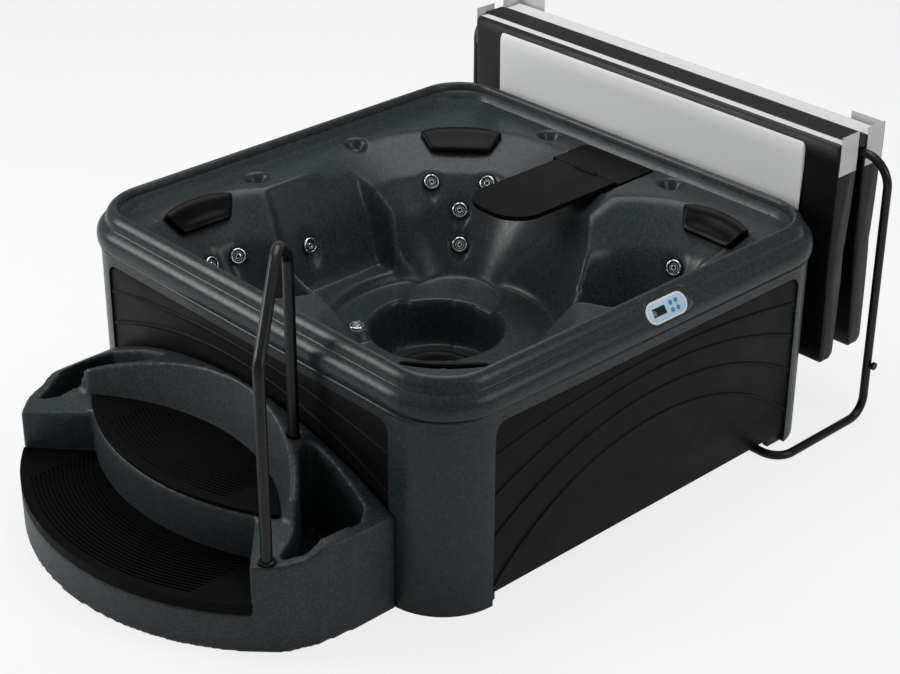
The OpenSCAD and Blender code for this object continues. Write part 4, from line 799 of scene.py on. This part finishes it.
# Equipment behind the access panel: pump with its wet end, heater tube, control box and pipes.
painted = moulded_black("cast_motor_enamel", "#2a2e30", 0.38, 400.0, 0.0004)
pipe_white = plain_plastic("white_pvc_pipe", "#dfe3e5", 0.35)
natural = plain_plastic("moulded_acetal", "#cbc3ab", 0.4)
for name, node, body, look, round_off in (
        ("pump_motor_body", "pump_motor", "tub", painted, 0.003),
        ("pump_wet_end", "pump_housing", "tub", barrel_black, 0.002),
        ("pump_impeller_wheel", "pump_impeller", "impeller", natural, 0.0),
        ("heater_tube", "heater", "tub", steel, 0.001),
        ("control_box_case", "control_box", "tub", barrel_black, 0.004),
        ("pvc_pipes", "water_pipes", "tub", pipe_white, 0.0),
        ("drain_hose_barb", "drain_valve", "tub", barrel_black, 0.0),
        ("drain_screw_cap", "drain_cap", "drain_cap", barrel_black, 0.0015)):
    from_cad(name, node, look, 35, round_off, body)


# Step: one hollow rotation-moulded body in the shell's granite colour. Its edges are soft, as the
# powder fills a mould's corners with a radius.
step_granite = speckled_acrylic("granite_polyethylene", "#2a3132", "#171c1d", "#41494b", 0.42)
step = copied("step_moulding", "step_body", step_granite, 180)
remesh = step.modifiers.new("skin", "REMESH")
remesh.mode, remesh.voxel_size, remesh.use_smooth_shade = "VOXEL", 0.008, True
relax = step.modifiers.new("relax", "SMOOTH")
relax.factor, relax.iterations = 0.5, 5
made = bpy.data.meshes.new_from_object(step.evaluated_get(bpy.context.evaluated_depsgraph_get()))
step.modifiers.clear()
step.data = made
made.name = "step_moulding"
made.materials.clear()
made.materials.append(step_granite)
made.polygons.foreach_set("use_smooth", [True] * len(made.polygons))
fixed(step, "tub", "step_body")


# Tread mats: black rubber sheets pressed into the treads, with raised ribs in arcs about one centre.
rubber = moulded_black("pressed_rubber_mat", "#040404", 0.55, 500.0, 0.0003, 0.06)
from_cad("lower_tread_mat", "step_mat_lower", rubber, 40, 0.0015)
from_cad("upper_tread_mat", "step_mat_upper", rubber, 40, 0.0015)


# Handrail and cover lifter: steel tube bent on a former and powder-coated satin black.
def powder_coat():
    made, tree, place = surface("black_powder_coat")
    # Orange peel of the fused powder, about 1.5 mm, drawn at 3 mm.
    peel = add_node(tree, "ShaderNodeTexNoise", {"Scale": 380.0, "Detail": 2.0}, {"Vector": place})
    return finish(made, tree, peel, 0.2, 0.0004, {"Base Color": srgb("#08080a"), "Roughness": 0.33,
                                                  "Specular IOR Level": 0.35})


def bent_tube(tree, given, line):
    bends = add_node(tree, "GeometryNodeFilletCurve", {}, {"Curve": line, "Radius": given["Bend radius"]},
                     mode="POLY")
    bends.inputs["Count"].default_value = 14
    bends.inputs["Limit Radius"].default_value = True
    half = add_node(tree, "ShaderNodeMath", {1: 0.5}, {0: given["Diameter"]}, operation="MULTIPLY")
    ring = add_node(tree, "GeometryNodeCurvePrimitiveCircle", {"Resolution": 32},
                    {"Radius": half.outputs[0]})
    return bends.outputs[0], ring.outputs[0]


coated = powder_coat()
tube_tree = sweep_tree("bent_tube", (("Diameter", 0.03), ("Bend radius", 0.06)), bent_tube)
run_length = math.hypot(301, 359)
rail_along = (-301 / run_length, 359 / run_length)


def rail_point(s, z):
    return ((650 + rail_along[0] * s) / 1000, (-1398 + rail_along[1] * s) / 1000, z / 1000)


rail_line = [rail_point(0, 257), rail_point(0, 1012), rail_point(330, 1250), rail_point(480, 1148),
             rail_point(480, 411)]
fixed(from_lines("handrail_tube", tube_tree, [rail_line], {"Diameter": 0.038, "Bend radius": 0.075,
                                                           "Finish": coated}), "tub", "handrail")
# A collar closes each leg's socket, in the lower and in the upper tread.
for number, s, z in ((1, 0, 326), (2, 480, 480)):
    collar = turned([(19.3, z - 4), (22, z - 4), (27, z - 1), (27.5, z + 2), (26, z + 5), (21, z + 7),
                     (19.3, z + 6), (19.3, z - 4)], 40)
    at_leg = Matrix.Translation(Vector(rail_point(s, 0)) * 1000)
    fixed(set_in("rail_collar_%d" % number, [collar], at_leg, barrel_black), "tub")
from_cad("rail_socket_liners", "rail_sockets", barrel_black, 30)

# The lifter's frame in metres: a base bent round under the pan, and a bar on two legs sleeved into it.
bar_x, bar_y, bar_z, base_z, base_y, sleeve_z = 1.045, 1.1295, 1.040, 0.016, 0.636, 0.258
base_line = [(-bar_x, bar_y, sleeve_z), (-bar_x, bar_y, base_z), (-bar_x, base_y, base_z),
             (bar_x, base_y, base_z), (bar_x, bar_y, base_z), (bar_x, bar_y, sleeve_z)]
fixed(from_lines("lifter_base_tube", tube_tree, [base_line],
                 {"Diameter": 0.032, "Bend radius": 0.075, "Finish": coated}), "tub", "lifter_base")
upper_line = [(-bar_x, bar_y, sleeve_z + 0.0003), (-bar_x, bar_y, bar_z), (bar_x, bar_y, bar_z),
              (bar_x, bar_y, sleeve_z + 0.0003)]
fixed(from_lines("lifter_upper_tube", tube_tree, [upper_line],
                 {"Diameter": 0.0318, "Bend radius": 0.105, "Finish": coated}),
      "lifter_frame", "lifter_upper")
neck = [turned([(0, 138), (13.5, 138), (13.5, 262), (0, 262)], 32)]
for number, x in ((1, -1045), (2, 1045)):
    fixed(set_in("lifter_neck_%d" % number, neck, Matrix.Translation((x, 1129.5, 0)), coated),
          "lifter_frame")
from_cad("lifter_clamp_knobs", "lifter_knobs", barrel_black, 35, 0.0015)


# Folded cover: two tapered foam boards sewn into grained black vinyl, a light grey liner slab on the
# outer face of each, and a vinyl hinge over the lifter's bar.
def grained_vinyl(name, colour, roughness):
    made, tree, place = surface(name)
    # Leather grain pressed into the vinyl, cells about 1.5 mm, drawn at 4 mm.
    grain = add_node(tree, "ShaderNodeTexVoronoi", {"Scale": 250.0}, {"Vector": place})
    drift = add_node(tree, "ShaderNodeTexNoise", {"Scale": 5.0, "Detail": 3.0}, {"Vector": place})
    crease = add_node(tree, "ShaderNodeMath", {1: 2.0}, {0: drift.outputs[0]}, operation="MULTIPLY")
    height = add_node(tree, "ShaderNodeMath", {}, {0: grain.outputs[0], 1: crease.outputs[0]},
                      operation="ADD")
    sheen = add_node(tree, "ShaderNodeMapRange", {"From Min": 0.3, "From Max": 0.7,
                                                  "To Min": roughness - 0.06, "To Max": roughness + 0.06},
                     {0: drift.outputs[0]})
    return finish(made, tree, height, 0.3, 0.0008, {"Base Color": srgb(colour), "IOR": 1.5,
                                                    "Specular IOR Level": 0.3},
                  {"Roughness": sheen.outputs[0]})


black_vinyl = grained_vinyl("grained_black_vinyl", "#0d0d0e", 0.42)
grey_vinyl = grained_vinyl("grained_grey_vinyl", "#f2f2f2", 0.5)


def board(name, section, half, material, body, node, crown):
    """A padded board: a section in Y and Z run along X, with soft edges and slightly crowned faces."""
    columns, steps = 48, 14
    loop = []
    for k in range(4):
        a, b = np.array(section[k], float), np.array(section[(k + 1) % 4], float)
        length = np.linalg.norm(b - a)
        r = min(14.0, length / 2.5)
        u = (b - a) / length
        n = np.array([u[1], -u[0]])
        ts = [r / length + (1 - 2 * r / length) * j / steps for j in range(steps + 1)]
        loop += [a + (b - a) * t + n * (-crown * (1 - math.sin(math.pi * t))) for t in ts]
    centre_line = np.mean(np.array(section, float), axis=0)
    # Stations along the board, each with how far its section is drawn in.
    rows = [(-half, 18), (-half + 2, 8), (-half + 7, 2.4), (-half + 15, 0)]
    rows += [(-half + 15 + (2 * half - 30) * j / columns, 0) for j in range(1, columns)]
    rows += [(half - 15, 0), (half - 7, 2.4), (half - 2, 8), (half, 18)]
    rings = []
    for x, inset in rows:
        slack = crown * (1 - max(math.cos(math.pi * x / (2 * half)), 0.0) ** 0.5)
        toward = [(centre_line - p) / np.linalg.norm(centre_line - p) for p in loop]
        rings.append([(x, *(p + way * (inset + slack))) for p, way in zip(loop, toward)])
    piece = fixed(put_solid(name, rings, material, 60, turn_over=True), body, node)


near_section = [(1002, 1097), (1112, 1097), (1078, 215), (1008, 215)]
far_section = [(1147, 1097), (1251, 1097), (1246, 225), (1176, 225)]
board("cover_near_board", near_section, 920, black_vinyl, "cover_half", "cover_near", 2.0)
board("cover_far_board", far_section, 920, black_vinyl, "cover_far_half", "cover_far", 2.0)
# Each board's edge at the fold is bound in the light lining, and the hinge between them is black.
lining = grained_vinyl("white_vinyl_backing", "#cfcfcf", 0.55)
for name in ("cover_near_board", "cover_far_board"):
    made = bpy.data.objects[name].data
    made.materials.append(lining)
    for face in made.polygons:
        if face.normal.z > 0.8 and face.center.z > 1.085:
            face.material_index = 1
board("cover_near_slab", [(990, 1067), (1002.2, 1067), (1007.0, 355), (995, 355)], 770, grey_vinyl,
      "cover_half", "cover_near_liner", 0.6)
board("cover_far_slab", [(1251, 1067), (1263, 1067), (1258, 355), (1246.7, 355)], 770, grey_vinyl,
      "cover_far_half", "cover_far_liner", 0.6)
from_cad("cover_hinge_band", "cover_hinge", black_vinyl, 35, 0.0015, "cover_half")


# Skirt flaps: single plies of white-backed vinyl sewn to the boards' edges, which stand out a little
# above the fold and at the far corners.
def flap(name, corner_at, across, up, body, node=None):
    """A flap 1.4 mm thick from a corner, with its width and height as vectors in millimetres."""
    columns, rows, thick = 10, 12, 1.4
    corner_at, across, up = (np.array(v, float) for v in (corner_at, across, up))
    out = np.cross(across, up)
    out /= np.linalg.norm(out)
    points = []
    for ply in (0.0, thick):
        for i in range(columns + 1):
            for j in range(rows + 1):
                s, t = i / columns, j / rows
                bow = 1.6 * math.sin(math.pi * s) * math.sin(math.pi * t)
                bow += 0.5 * math.sin(7 * s + 3 * t)
                points.append(corner_at + across * s + up * t + out * (ply + max(bow, 0.0)))
    m, half = rows + 1, (columns + 1) * (rows + 1)
    faces = []
    for i in range(columns):
        for j in range(rows):
            q = (i * m + j, (i + 1) * m + j, (i + 1) * m + j + 1, i * m + j + 1)
            faces += [tuple(reversed(q)), tuple(k + half for k in q)]
    rim = [i * m + j for i, j in border(columns, rows)]
    faces += [(rim[k], rim[(k + 1) % len(rim)], rim[(k + 1) % len(rim)] + half, rim[k] + half)
              for k in range(len(rim))]
    piece = put_mesh(name, np.array(points) / 1000, faces, lining, 40)
    fixed(piece, body, *([node] if node else []))
    np.linalg.norm(across) / 1000
    np.linalg.norm(up) / 1000


for name, corner_at, across, up, board_at, node in (
        ("near_flap_right", (920.9, 1005, 977), (0, 98, 0), (0, 0, 150), "near", "cover_near_flaps"),
        ("near_flap_left", (-920.9, 1103, 977), (0, -98, 0), (0, 0, 150), "near", None),
        ("far_flap_right", (920.9, 1155, 977), (0, 96, 0), (0, 0, 150), "far", "cover_far_flaps"),
        ("far_flap_left", (-920.9, 1251, 977), (0, -96, 0), (0, 0, 150), "far", None),
        ("far_flap_back_right", (923, 1251.9, 977), (-147, 0, 0), (0, 0, 144), "far", None),
        ("far_flap_back_left", (-780, 1251.9, 977), (-143, 0, 0), (0, 0, 170), "far", None)):
    flap(name, corner_at, across, up, "cover_half" if board_at == "near" else "cover_far_half",
         node)
